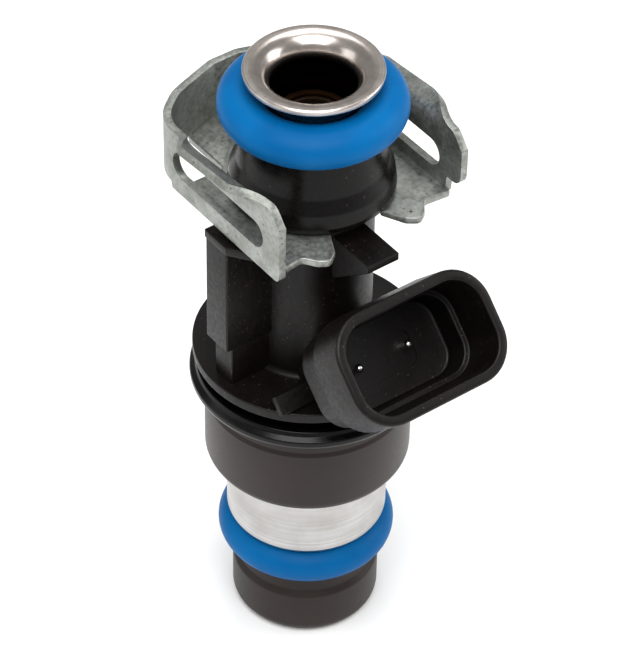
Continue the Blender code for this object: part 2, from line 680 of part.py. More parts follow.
def make_housing(material):
    """Deep-drawn steel can round the coil, with a shoulder turned in at its top."""
    floor_bore = BODY_NECK_RADIUS + GAP
    shoulder = HOUSING_HEIGHT - HOUSING_SHOULDER
    chamfer = HOUSING_RADIUS - HOUSING_TOP_RADIUS
    profile = rounded([
        (floor_bore, 0, 0), (HOUSING_RADIUS, 0, HOUSING_CORNER), (HOUSING_RADIUS, shoulder, 0),
        (HOUSING_TOP_RADIUS, shoulder + 2 * chamfer, 0), (HOUSING_TOP_RADIUS, HOUSING_HEIGHT, 0),
        (HOUSING_BORE, HOUSING_HEIGHT, 0), (HOUSING_BORE, HOUSING_WALL, 0),
        (floor_bore, HOUSING_WALL, 0)])
    return turned("solenoid_housing", profile, material, HOUSING_BOTTOM)


def make_end_ring(material):
    """Ring between the housing and the moulding, with a rounded brim and a ridge on top."""
    groove = END_RING_HEIGHT - END_RING_GROOVE_DEPTH
    ridge_back = END_RING_RIDGE_RADIUS - END_RING_RIDGE_WIDTH
    profile = rounded([
        (END_RING_BORE, 0, 0), (END_RING_RADIUS, 0, 2 * SOFT_EDGE),
        (END_RING_RADIUS, END_RING_BRIM, SOFT_EDGE), (END_RING_RIDGE_RADIUS, END_RING_HEIGHT, SOFT_EDGE / 2),
        (ridge_back, END_RING_HEIGHT, 0), (ridge_back - SOFT_EDGE, groove, 0), (END_RING_BORE, groove, 0)],
        2)
    return turned("end_ring", profile, material, END_RING_BOTTOM)


# ---------------------------------------------------------------------------------------------
# Moulding with the connector, and its pins


def pin_path(side, start, end):
    """Centre line of a contact pin: along the connector, then down to the coil."""
    frame = connector_frame(0)
    y = side * PIN_SPACING / 2
    inner_end = frame @ Vector((y, PIN_OFFSET, -start))
    direction = (frame @ Vector((y, PIN_OFFSET, 0))) - (frame @ Vector((y, PIN_OFFSET, -1)))
    elbow = inner_end - direction * ((inner_end.x - PIN_LEG_REACH) / direction.x)
    down = Vector((0, 0, -1))
    middle = elbow + (direction + down) * PIN_BEND * 0.3
    return [inner_end, elbow + direction * PIN_BEND, middle, elbow + down * PIN_BEND,
            Vector((elbow.x, elbow.y, end))]


def make_pins(material):
    """Two round contact pins, bent from the connector down to the coil."""
    for name, side in (("terminal_pin_left", -1), ("terminal_pin_right", 1)):
        swept_bar(name, pin_path(side, PIN_DEPTH, BOBBIN_TOP + FIT), PIN_RADIUS, PIN_SIDES,
                  material)


def make_overmold(material):
    """Moulded body: a turned core, the neck, the lugs and the connector, all one piece."""
    core = turned("overmold_body", rounded([
        (0, SPIGOT_BOTTOM, 0), (SPIGOT_RADIUS, SPIGOT_BOTTOM, 0), (SPIGOT_RADIUS, STEM_BOTTOM, 0),
        (STEM_RADIUS, STEM_BOTTOM, 0), (STEM_RADIUS, DISC_BOTTOM, 0), (DISC_RADIUS, DISC_BOTTOM, 0),
        (DISC_RADIUS, DISC_TOP, 0), (BODY_RADIUS, DISC_TOP, 0), (BODY_RADIUS, BODY_TOP, SOFT_EDGE),
        (0, BODY_TOP, 0)]), material)
    collar = turned("collar", [
        (0, COLLAR_BOTTOM), (COLLAR_RADIUS - COLLAR_EDGE / 4, COLLAR_BOTTOM),
        (COLLAR_RADIUS, COLLAR_BOTTOM + COLLAR_EDGE),
        (COLLAR_RADIUS - COLLAR_TAPER, COLLAR_BOTTOM + COLLAR_SKIRT * 0.6),
        (COLLAR_WAIST_RADIUS, COLLAR_BOTTOM + COLLAR_SKIRT),
        (COLLAR_TOP_RADIUS, COLLAR_TOP), (0, COLLAR_TOP)])
    neck = extruded("neck", rounded_rectangle(NECK_LENGTH, NECK_WIDTH, NECK_WIDTH / 2 - 0.01),
                    COLLAR_BOTTOM - BODY_TOP + 2 * JOIN, upright(0, 0, BODY_TOP - JOIN))
    combine(core, neck, "UNION")
    combine(core, collar, "UNION")
    for lug in (make_front_lug(), make_ledge(), make_block(), make_rib(), make_wing()):
        combine(core, lug, "UNION")
    for shell in make_connector_shell():
        combine(core, shell, "UNION")
    for cutter in overmold_cutters():
        combine(core, cutter, "DIFFERENCE")
    return core


def make_front_lug():
    """Flat lug under the clip's front, on a wedge-shaped gusset."""
    top = BODY_TOP - LUG_DROP
    root = BODY_RADIUS - LUG_ROOT
    profile = [(root, top), (LUG_REACH, top), (LUG_REACH, top - LUG_THICKNESS),
               (BODY_RADIUS, top - LUG_THICKNESS - GUSSET_DEPTH),
               (root, top - LUG_THICKNESS - GUSSET_DEPTH)]
    return extruded("front_lug", profile, LUG_WIDTH, sideways(LUG_WIDTH))


def make_ledge():
    """Ledge under the clip's left wall, cut off at a slant in front."""
    half = BLOCK_WIDTH / 2
    root = LUG_ROOT - BODY_RADIUS
    outline = [(-half, root), (-half, -BLOCK_REACH), (half, -BLOCK_REACH),
               (half + LEDGE_OVERHANG, -BLOCK_REACH + LEDGE_SLANT), (half + LEDGE_OVERHANG, root)]
    return extruded("ledge", outline, LEDGE_THICKNESS - 0.05, upright(0, 0, BODY_TOP - LEDGE_THICKNESS))


def make_block():
    """Upright block below the ledge."""
    half = BLOCK_WIDTH / 2 - 0.05
    root = LUG_ROOT - BODY_RADIUS
    outline = [(-half, root), (-half, -BLOCK_REACH + 0.1), (half, -BLOCK_REACH + 0.1), (half, root)]
    height = BLOCK_HEIGHT - LEDGE_THICKNESS / 2
    return extruded("block", outline, height, upright(0, 0, BODY_TOP - BLOCK_HEIGHT))


def make_rib():
    """Rib that joins the block to the disc."""
    half = BLOCK_WIDTH / 2 - 0.3
    root = LUG_ROOT - BODY_RADIUS
    outline = [(-half, root), (-half, -RIB_REACH), (half, -RIB_REACH), (half, root)]
    bottom = DISC_TOP - DISC_THICKNESS / 2
    return extruded("rib", outline, BODY_TOP - BLOCK_HEIGHT + JOIN - bottom, upright(0, 0, bottom))


def make_wing():
    """Bar across the foot of the connector, just above the disc."""
    tilt = math.radians(CONNECTOR_TILT)
    depth = (CONNECTOR_REACH - WING_REACH) / math.cos(tilt)
    height = (DISC_TOP + CONNECTOR_RISE) - depth * math.sin(tilt)
    drop = (height - DISC_TOP) / math.cos(tilt) - WING_HEIGHT / 2
    frame = connector_frame(depth + WING_THICKNESS / 2) @ Matrix.Translation((0, -drop, 0))
    return extruded("wing", rounded_rectangle(WING_SPAN, WING_HEIGHT, 0.0), WING_THICKNESS, frame)


def make_connector_shell():
    """Barrel at the connector's mouth, the trunk round the socket and its root down to the disc."""
    barrel = extruded("connector_barrel", rounded_rectangle(CONNECTOR_WIDTH, CONNECTOR_DEPTH,
                                                            CONNECTOR_CORNER),
                      BARREL_LENGTH, connector_frame(BARREL_LENGTH))
    trunk_depth = CONNECTOR_DEPTH - 2 * BARREL_STEP
    corner = CONNECTOR_CORNER - BARREL_STEP
    trunk = extruded("connector_trunk",
                     rounded_rectangle(CONNECTOR_WIDTH - 2 * BARREL_STEP, trunk_depth, corner),
                     TRUNK_LENGTH - BARREL_LENGTH + JOIN, connector_frame(TRUNK_LENGTH))
    root = extruded("connector_root", rounded_rectangle(TRUNK_ROOT_WIDTH, trunk_depth, corner),
                    TRUNK_ROOT_DEPTH - TRUNK_LENGTH + JOIN, connector_frame(TRUNK_ROOT_DEPTH))
    cut_size = 3 * CONNECTOR_REACH
    below = extruded("trunk_cut", rounded_rectangle(cut_size, cut_size, 0.0), cut_size,
                     upright(0, 0, DISC_BOTTOM + DISC_THICKNESS / 3 - cut_size))
    for shell in (trunk, root):
        combine(shell, below, "DIFFERENCE")
    return barrel, trunk, root


def overmold_cutters():
    """Socket, pin channels and the stepped bore for the pole piece and the inlet tube."""
    inner_width = CONNECTOR_WIDTH - 2 * CONNECTOR_WALL
    inner_depth = CONNECTOR_DEPTH - 2 * CONNECTOR_WALL
    corner = CONNECTOR_CORNER - CONNECTOR_WALL
    mouth = extruded("socket_mouth", rounded_rectangle(inner_width, inner_depth, corner),
                     SOCKET_STEP_DEPTH + OVERCUT, connector_frame(SOCKET_STEP_DEPTH))
    well = extruded("socket_well",
                    rounded_rectangle(inner_width - 2 * SOCKET_STEP, inner_depth - 2 * SOCKET_STEP,
                                      corner - SOCKET_STEP),
                    SOCKET_DEPTH, connector_frame(SOCKET_DEPTH))
    pin_well = extruded("pin_well",
                        rounded_rectangle(PIN_WELL_WIDTH, PIN_WELL_HEIGHT, PIN_WELL_CORNER),
                        PIN_WELL_DEPTH, connector_frame(PIN_WELL_DEPTH))
    bore = turned("core_bore", [
        (0, SPIGOT_BOTTOM - OVERCUT), (POLE_RADIUS + FIT, SPIGOT_BOTTOM - OVERCUT),
        (POLE_RADIUS + FIT, POLE_TOP + FIT), (TUBE_WAIST_RADIUS + CLOSE_FIT, POLE_TOP + FIT),
        (TUBE_WAIST_RADIUS + CLOSE_FIT, TUBE_STEP - FIT), (TUBE_RADIUS + FIT, TUBE_STEP - FIT),
        (TUBE_RADIUS + FIT, COLLAR_TOP + OVERCUT), (0, COLLAR_TOP + OVERCUT)])
    channels = [swept_bar(f"pin_channel_{side}",
                          pin_path(side, PIN_WELL_DEPTH - OVERCUT, SPIGOT_BOTTOM - OVERCUT),
                          PIN_RADIUS + FIT, PIN_SIDES) for side in (-1, 1)]
    return [mouth, well, pin_well, bore, *channels]


# ---------------------------------------------------------------------------------------------
# Inlet


def make_inlet_tube(material):
    """Drawn tube with a flared, flat-topped rim and a narrow waist through the moulding's neck."""
    bottom = POLE_TOP - TUBE_INSERTION
    flat_inner = RIM_RADIUS - RIM_FLAT
    throat = rounded([(flat_inner + 1.0, RIM_TOP, 0), (TUBE_BORE, RIM_TOP, flat_inner - TUBE_BORE),
                      (TUBE_BORE, RIM_TOP - 3, 0)], 4)
    profile = [
        (TUBE_WAIST_BORE, bottom), (TUBE_WAIST_RADIUS, bottom), (TUBE_WAIST_RADIUS, TUBE_STEP),
        (TUBE_RADIUS, TUBE_STEP + 0.2), (TUBE_RADIUS, RIM_TOP - 1.6),
        (flat_inner + 0.1, RIM_TOP - RIM_THICKNESS - 0.4), (RIM_RADIUS, RIM_TOP - RIM_THICKNESS),
        (RIM_RADIUS, RIM_TOP), *throat[1:-1], (TUBE_BORE, TUBE_CONE_TOP),
        (TUBE_WAIST_BORE, TUBE_STEP + TUBE_CONE)]
    return turned("inlet_tube", profile, material)


def make_filter(frame_material, screen_material):
    """Filter in the inlet: a ring, ribs and a cap that carry a fine screen sleeve."""
    outer = TUBE_BORE - FIT
    inner = outer - FILTER_WALL
    ring = turned("inlet_filter_frame", [
        (inner, FILTER_TOP - FILTER_RING_HEIGHT), (outer, FILTER_TOP - FILTER_RING_HEIGHT),
        (outer, FILTER_TOP), (inner, FILTER_TOP)], frame_material, 0, SMALL_SEGMENTS)
    cap = turned("filter_cap", [
        (0, FILTER_BOTTOM), (outer - FILTER_CAP_STEP, FILTER_BOTTOM),
        (outer - FILTER_CAP_STEP, FILTER_BOTTOM + FILTER_CAP_HEIGHT),
        (0, FILTER_BOTTOM + FILTER_CAP_HEIGHT)], segments=SMALL_SEGMENTS)
    for index in range(FILTER_RIBS):
        turn = Matrix.Rotation(2 * math.pi * index / FILTER_RIBS, 4, "Z")
        rib = extruded(f"filter_rib_{index}",
                       rounded_rectangle(FILTER_WALL - 0.1, FILTER_RIB_WIDTH, 0.0),
                       FILTER_HEIGHT - 0.4,
                       turn @ upright(outer - FILTER_WALL / 2 - 0.08, 0, FILTER_BOTTOM + 0.2))
        combine(ring, rib, "UNION")
    combine(ring, cap, "UNION")
    sleeve = inner - FIT
    turned("inlet_filter_screen", [
        (sleeve - SCREEN_WALL, FILTER_BOTTOM + FILTER_CAP_HEIGHT + FIT),
        (sleeve, FILTER_BOTTOM + FILTER_CAP_HEIGHT + FIT), (sleeve, FILTER_TOP - FIT),
        (sleeve - SCREEN_WALL, FILTER_TOP - FIT)], screen_material, 0, SMALL_SEGMENTS)


# ---------------------------------------------------------------------------------------------
# Retaining clip


def smooth(value, low, high):
    """0 below low, 1 above high, with a smooth change between them."""
    share = min(max((value - low) / (high - low), 0.0), 1.0)
    return share * share * (3 - 2 * share)


def clip_plan():
    """Middle line of the clip's wall in plan, from the left front round the back."""
    side = CLIP_HALF_WIDTH - SHEET / 2
    back = CLIP_BACK - SHEET / 2
    shoulder = CLIP_SHOULDER_BACK - SHEET / 2
    run = CLIP_STEP_RUN
    tongue = CLIP_TONGUE_WIDTH / 2
    half = [(CLIP_FRONT, side, 0), (CLIP_PLATE_FRONT + run, side, 0), (CLIP_PLATE_FRONT - run, side, 0),
            (LIP_FRONT, side, 0), (-CLIP_REAR_STEP + run, side, 0), (-CLIP_REAR_STEP - run, side, 0),
            (-CLIP_CORNER, side, 1.0), (-shoulder, CLIP_SHOULDER_WIDTH, 1.5),
            (-shoulder - 0.45, tongue + run, 0), (-shoulder - 0.5, tongue - run, 0), (-back, 1.2, 0)]
    points = rounded([(x, -y, r) for x, y, r in half] + half[::-1])
    dense = [points[0]]
    for point in points[1:]:
        parts = max(1, round(math.dist(dense[-1], point) / CLIP_PITCH))
        start = dense[-1]
        dense += [(start[0] + (point[0] - start[0]) * k / parts,
                   start[1] + (point[1] - start[1]) * k / parts) for k in range(1, parts + 1)]
    return dense


def clip_wall_heights(x, y):
    """Bottom and top of the clip's wall at a place in plan."""
    bottom = CLIP_BOTTOM + FIT
    if x > CLIP_PLATE_FRONT and y > 0:
        bottom = CLIP_BOTTOM + CLIP_FRONT_NOTCH
    elif x < -CLIP_REAR_STEP and abs(y) > CLIP_TONGUE_WIDTH / 2:
        bottom = CLIP_BOTTOM + CLIP_REAR_NOTCH
    rise = CLIP_FRONT_RISE * smooth(x, -CLIP_CORNER, CLIP_FRONT)
    drop = CLIP_FRONT_DROP * smooth(x, CLIP_FRONT - 1.2, CLIP_FRONT + 0.6)
    top = CLIP_BOTTOM + CLIP_WALL_HEIGHT + rise - drop
    return bottom, top


def clip_wall():
    """Bent wall of the clip, with its upper edge turned out to a lip on both sides."""
    plan = [Vector((x, y, 0)) for x, y in clip_plan()]
    outer, inner = [], []
    for index, place in enumerate(plan):
        ahead, behind = plan[min(index + 1, len(plan) - 1)], plan[max(index - 1, 0)]
        along = (ahead - behind).normalized()
        out = Vector((-along.y, along.x, 0))
        if out.dot(place) < 0:
            out = -out
        bottom, top = clip_wall_heights(place.x, place.y)
        on_side = abs(place.y) > CLIP_HALF_WIDTH - 2 * SHEET
        flare = smooth(place.x, LIP_BACK, LIP_BACK + LIP_RUN) * on_side
        flare *= 1 - smooth(place.x, LIP_FRONT - LIP_RUN, LIP_FRONT + LIP_RUN)
        bend = top - LIP_LENGTH / 2
        length = (top - bend) + flare * LIP_LENGTH / 2
        angle = math.radians(LIP_ANGLE) * flare
        rows = [(0.0, bottom, 0.0), (0.0, bend, 0.0)]
        first = (0.4 * length * math.sin(angle / 2), bend + 0.4 * length * math.cos(angle / 2))
        rows.append((*first, angle * 0.75))
        rows.append((first[0] + 0.6 * length * math.sin(angle),
                     first[1] + 0.6 * length * math.cos(angle), angle))
        for skin, side in ((outer, 1), (inner, -1)):
            reach = side * SHEET / 2
            skin.append([place + out * (shift + reach * math.cos(lean))
                         + Vector((0, 0, height - reach * math.sin(lean)))
                         for shift, height, lean in rows])
    return sheet_between("retaining_clip", outer, inner)


def clip_plate_outline():
    """Plate with a keyhole slot open to the front, two tabs beside its mouth and a rear tongue."""
    mouth = NECK_WIDTH / 2 + CLIP_MOUTH_CLEARANCE
    edge = CLIP_HALF_WIDTH - SHEET / 3
    tongue = CLIP_TONGUE_WIDTH / 2
    shoulder = CLIP_SHOULDER_BACK - SHEET / 2
    tab = rounded([
        (CLIP_MOUTH_REACH - 1.6, CLIP_SLOT_HALF_WIDTH, 0), (CLIP_MOUTH_REACH, mouth, 0),
        (CLIP_TAB_REACH - 0.6, mouth + 1.0, 0), (CLIP_TAB_REACH, 4.2, 0.4),
        (CLIP_TAB_REACH - 0.2, 4.9, 0.4), (CLIP_PLATE_FRONT + 0.4, 5.4, 0.4), (CLIP_PLATE_FRONT, 6.2, 0),
        (CLIP_PLATE_FRONT + CLIP_PLATE_CORNER, edge, 0)], 2)
    half = arc(0, 0, CLIP_SLOT_HALF_WIDTH, 180, 90, 6)
    half += tab
    half += [(-CLIP_TONGUE_ROOT, edge), (-CLIP_TONGUE_ROOT, tongue), (-shoulder - 0.3, tongue),
             (-CLIP_BACK + SHEET / 2, 1.0)]
    return half + [(x, -y) for x, y in half[:0:-1]]


def make_retaining_clip(material):
    """Spring-steel clip: its plate sits in the groove under the collar."""
    slide = bpy.data.objects.new("clip_slide_axis", None)
    slide.location.z = CLIP_BOTTOM * MM
    bpy.context.scene.collection.objects.link(slide)

    clip = clip_wall()
    clip.data.materials.append(material)
    plate = extruded("clip_plate", clip_plate_outline(), SHEET, upright(0, 0, CLIP_BOTTOM))
    combine(clip, plate, "UNION")

    middle = (CLIP_WINDOW_BACK + CLIP_WINDOW_FRONT) / 2
    width = 2 * (CLIP_HALF_WIDTH + LIP_LENGTH + OVERCUT)
    window = extruded("clip_window", rounded_rectangle(CLIP_WINDOW_FRONT - CLIP_WINDOW_BACK,
                                                       CLIP_WINDOW_HEIGHT, CLIP_WINDOW_HEIGHT / 2 - 0.01),
                      width, upright(middle, 0, CLIP_BOTTOM + CLIP_WINDOW_BOTTOM
                                     + CLIP_WINDOW_HEIGHT / 2) @ sideways(width))
    combine(clip, window, "DIFFERENCE")
    clip.parent = slide
    clip.location.z -= slide.location.z
    return clip


# ---------------------------------------------------------------------------------------------


def main():
    clear_scene()
    nylon = finish("black_nylon", (0.025, 0.021, 0.020), 0.5, 0.0)
    gloss_black = finish("gloss_black", (0.01, 0.01, 0.01), 0.2, 0.0)
    dark_steel = finish("dark_steel", (0.05, 0.036, 0.032), 0.45, 0.3)
    stainless = finish("stainless_steel", (0.66, 0.64, 0.62), 0.3, 1.0)
    zinc = finish("zinc_plate", (0.48, 0.5, 0.47), 0.4, 1.0)
    blue_rubber = finish("blue_rubber", (0.003, 0.21, 0.62), 0.35, 0.0)
    green_rubber = finish("green_rubber", (0.05, 0.18, 0.1), 0.5, 0.0)
    bright_tin = finish("bright_tin", (0.8, 0.8, 0.8), 0.2, 1.0)
    brass = finish("brass", (0.7, 0.5, 0.2), 0.35, 1.0)
    mesh_steel = finish("mesh_steel", (0.4, 0.4, 0.4), 0.5, 1.0)
    magnetic_steel = finish("magnetic_steel", (0.35, 0.35, 0.36), 0.4, 1.0)
    spring_steel = finish("spring_steel", (0.3, 0.3, 0.32), 0.35, 1.0)
    bobbin_nylon = finish("bobbin_nylon", (0.6, 0.55, 0.45), 0.5, 0.0)
    copper = finish("copper_wire", (0.6, 0.25, 0.12), 0.4, 1.0)
    ball_steel = finish("ball_steel", (0.7, 0.7, 0.72), 0.1, 1.0)

    make_tip_retainer(finish("tip_plastic", (0.045, 0.034, 0.03), 0.5, 0.0))
    make_o_ring("lower_o_ring", LOWER_RING_Z, blue_rubber)
    make_valve_body(stainless)
    make_seat_stack(stainless, mesh_steel, green_rubber)
    make_valve(stainless, ball_steel, magnetic_steel)
    make_return_spring(spring_steel)
    make_magnet_core(magnetic_steel, stainless, brass)
    make_coil(bobbin_nylon, copper, magnetic_steel, green_rubber)
    make_housing(dark_steel)
    make_end_ring(gloss_black)
    make_overmold(nylon)
    make_pins(bright_tin)
    make_inlet_tube(stainless)
    make_filter(brass, mesh_steel)
    make_o_ring("upper_o_ring", UPPER_RING_Z, blue_rubber)
    make_retaining_clip(zinc)


main()
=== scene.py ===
"""Top-feed fuel injector: the visual model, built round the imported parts.

The frame is the model's own: the origin is the centre of the tip's bottom face, +Z runs up the axis
to the fuel inlet and +X is the side of the electrical connector. Shapes are worked out in
millimetres, and MM turns them into metres when a mesh is made.
"""

import logging
import math
from collections.abc import Sequence
from dataclasses import dataclass, field
from enum import Enum

import bmesh
import bpy
import numpy as np
from mathutils import Matrix, Vector


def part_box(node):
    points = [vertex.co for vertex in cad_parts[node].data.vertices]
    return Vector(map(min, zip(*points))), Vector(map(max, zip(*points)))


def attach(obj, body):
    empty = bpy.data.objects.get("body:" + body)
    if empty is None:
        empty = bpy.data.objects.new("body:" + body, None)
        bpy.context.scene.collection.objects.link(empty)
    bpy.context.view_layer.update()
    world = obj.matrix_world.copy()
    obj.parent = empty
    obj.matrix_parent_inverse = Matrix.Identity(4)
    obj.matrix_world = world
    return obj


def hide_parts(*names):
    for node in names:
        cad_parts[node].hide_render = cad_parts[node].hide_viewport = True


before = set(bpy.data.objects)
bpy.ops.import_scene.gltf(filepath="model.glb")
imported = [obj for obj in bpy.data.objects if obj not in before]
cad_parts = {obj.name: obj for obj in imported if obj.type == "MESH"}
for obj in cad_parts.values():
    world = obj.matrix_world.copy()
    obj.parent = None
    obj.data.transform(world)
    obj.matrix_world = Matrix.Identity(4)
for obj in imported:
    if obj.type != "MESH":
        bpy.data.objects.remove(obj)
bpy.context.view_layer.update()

log = logging.getLogger("fuel_injector")

MM = 0.001
TURN = 2.0 * math.pi

# Sockets of a Mix node that works on colours.
MIX_FACTOR, MIX_A, MIX_B, MIX_RESULT = 0, 6, 7, 2


class Body(Enum):
    """The moving bodies that a piece can ride on."""

    FIXED = "root"
    VALVE = "valve"
    CLIP = "clip"


class Side(Enum):
    """The two sides of the injector, seen from the connector: the sign of Y."""

    LEFT = -1
    RIGHT = 1


# ---------------------------------------------------------------------------------------------
# Materials


def linear(color: str) -> tuple[float, float, float, float]:
    """Turns an sRGB hex colour into linear light.

    Args:
        color: six hex digits after a hash sign.

    Returns:
        Red, green, blue and full opacity.
    """
    levels = np.array([int(color[at:at + 2], 16) for at in (1, 3, 5)]) / 255.0
    curved = ((levels + 0.055) / 1.055) ** 2.4
    red, green, blue = np.where(levels <= 0.04045, levels / 12.92, curved)
    return float(red), float(green), float(blue), 1.0


def add(tree: bpy.types.NodeTree, kind: str, sockets: dict | None = None, **settings) -> bpy.types.Node:
    """Adds a node, sets it up and joins it to the nodes before it.

    Args:
        tree: the node tree that gets the node.
        kind: the node's type name.
        sockets: values for its input sockets, or output sockets to link them to.
        settings: properties of the node.

    Returns:
        The node.
    """
    node = tree.nodes.new(kind)
    for name, value in settings.items():
        setattr(node, name, value)
    for key, value in (sockets or {}).items():
        if isinstance(value, bpy.types.NodeSocket):
            tree.links.new(value, node.inputs[key])
        else:
            node.inputs[key].default_value = value
    return node


def per_metre(size: float) -> float:
    """The scale that makes one cell of a pattern as large as a size in millimetres."""
    return 1.0 / (size * MM)


@dataclass(frozen=True)
class Finish:
    """One finish: a Principled shader with its own pattern of colour, roughness and relief.

    The name is also the record's material slot.
    """

    name: str
    color: str
    other_color: str
    roughness: float
    spread: float = 0.06

    metallic = 0.0

    def material(self) -> bpy.types.Material:
        """Builds the material the first time, and hands out the same one after that.

        Returns:
            The material.
        """
        known = bpy.data.materials.get(f"finish_{self.name}")
        if known:
            return known
        material = bpy.data.materials.new(f"finish_{self.name}")
        material.use_nodes = True
        tree = material.node_tree
        tree.nodes.clear()
        shader = add(tree, "ShaderNodeBsdfPrincipled", {"Metallic": self.metallic})
        add(tree, "ShaderNodeOutputMaterial", {"Surface": shader.outputs["BSDF"]})
        place = add(tree, "ShaderNodeTexCoord").outputs["Object"]
        self.paint(tree, shader, place)
        return material

    def paint(self, tree: bpy.types.NodeTree, shader: bpy.types.Node, place: bpy.types.NodeSocket) -> None:
        """Adds the pattern; each kind of finish has its own."""
        raise NotImplementedError

    def blend(self, tree: bpy.types.NodeTree, share: bpy.types.NodeSocket, low: str | bpy.types.NodeSocket,
              high: str) -> bpy.types.NodeSocket:
        """Mixes two colours by a share that varies over the surface.

        Args:
            tree: the material's node tree.
            share: 0 gives the low colour and 1 the high one.
            low: a hex colour, or the socket of a colour made before.
            high: a hex colour.

        Returns:
            The mixed colour's socket.
        """
        first = linear(low) if isinstance(low, str) else low
        mixed = add(tree, "ShaderNodeMix", {MIX_FACTOR: share, MIX_A: first, MIX_B: linear(high)},
                    data_type="RGBA")
        return mixed.outputs[MIX_RESULT]

    def remap(self, tree: bpy.types.NodeTree, value: bpy.types.NodeSocket, low: float, high: float,
              start: float = 0.0, end: float = 1.0) -> bpy.types.NodeSocket:
        """Stretches a value so that low becomes start and high becomes end, and holds it there.

        Args:
            tree: the material's node tree.
            value: the value to stretch.
            low: the value that becomes start.
            high: the value that becomes end.
            start: the result at low.
            end: the result at high.

        Returns:
            The result's socket.
        """
        made = add(tree, "ShaderNodeMapRange", {"Value": value, "From Min": low, "From Max": high,
                                                "To Min": start, "To Max": end})
        return made.outputs["Result"]

    def noise(self, tree: bpy.types.NodeTree, place: bpy.types.NodeSocket, size: float,
              detail: float = 3.0) -> bpy.types.NodeSocket:
        """Cloudy noise whose patches are about size millimetres across."""
        made = add(tree, "ShaderNodeTexNoise", {"Vector": place, "Scale": per_metre(size), "Detail": detail})
        return made.outputs[0]

    def product(self, tree: bpy.types.NodeTree, first: bpy.types.NodeSocket,
                second: bpy.types.NodeSocket) -> bpy.types.NodeSocket:
        """Multiplies two values."""
        made = add(tree, "ShaderNodeMath", {0: first, 1: second}, operation="MULTIPLY")
        return made.outputs["Value"]

    def relief(self, tree: bpy.types.NodeTree, shader: bpy.types.Node, height: bpy.types.NodeSocket,
               depth: float) -> None:
        """Gives the shader bumps of a depth in millimetres."""
        bump = add(tree, "ShaderNodeBump", {"Height": height, "Distance": depth * MM, "Strength": 0.8})
        tree.links.new(bump.outputs["Normal"], shader.inputs["Normal"])

    def ring_place(self, tree: bpy.types.NodeTree, place: bpy.types.NodeSocket) -> bpy.types.NodeSocket:
        """Coordinates that are the same all the way round the Z axis: the radius, 0 and the height.

        Args:
            tree: the material's node tree.
            place: the piece's Object coordinates.

        Returns:
            The coordinates' socket.
        """
        parts = add(tree, "ShaderNodeSeparateXYZ", {"Vector": place})
        flat = add(tree, "ShaderNodeCombineXYZ", {"X": parts.outputs["X"], "Y": parts.outputs["Y"]})
        radius = add(tree, "ShaderNodeVectorMath", {0: flat.outputs["Vector"]}, operation="LENGTH")
        made = add(tree, "ShaderNodeCombineXYZ", {"X": radius.outputs["Value"], "Z": parts.outputs["Z"]})
        return made.outputs["Vector"]


@dataclass(frozen=True)
class Moulded(Finish):
    """Moulded plastic or rubber: the eye sees soft clouds of tone, a fine grain and a few pale flecks."""

    cloud: float = 4.0
    grain: float = 0.28
    depth: float = 0.006
    fleck_color: str = "#8A8078"
    fleck_size: float = 0.45
    fleck_share: float = 0.0
    ior: float = 1.5
    specular: float = 0.5

    def paint(self, tree: bpy.types.NodeTree, shader: bpy.types.Node, place: bpy.types.NodeSocket) -> None:
        """Clouds of tone, then flecks in a few of the cells, and the grain as relief.

        Args:
            tree: the material's node tree.
            shader: the Principled node.
            place: the piece's Object coordinates.
        """
        shader.inputs["IOR"].default_value = self.ior
        shader.inputs["Specular IOR Level"].default_value = self.specular
        cloud = self.remap(tree, self.noise(tree, place, self.cloud), 0.35, 0.65)
        tone = self.blend(tree, cloud, self.color, self.other_color)
        if self.fleck_share > 0:
            cells = add(tree, "ShaderNodeTexVoronoi", {"Vector": place, "Scale": per_metre(self.fleck_size)})
            spot = self.remap(tree, cells.outputs["Distance"], 0.10, 0.2, 1.0, 0.0)
            chance = add(tree, "ShaderNodeSeparateColor", {"Color": cells.outputs["Color"]})
            picked = self.remap(tree, chance.outputs[0], 1.0 - self.fleck_share, 1.001 - self.fleck_share)
            tone = self.blend(tree, self.product(tree, spot, picked), tone, self.fleck_color)
        grain = self.noise(tree, place, self.grain, 4.0)
        rough = self.remap(tree, grain, 0.3, 0.7, self.roughness - self.spread, self.roughness + self.spread)
        tree.links.new(tone, shader.inputs["Base Color"])
        tree.links.new(rough, shader.inputs["Roughness"])
        self.relief(tree, shader, grain, self.depth)


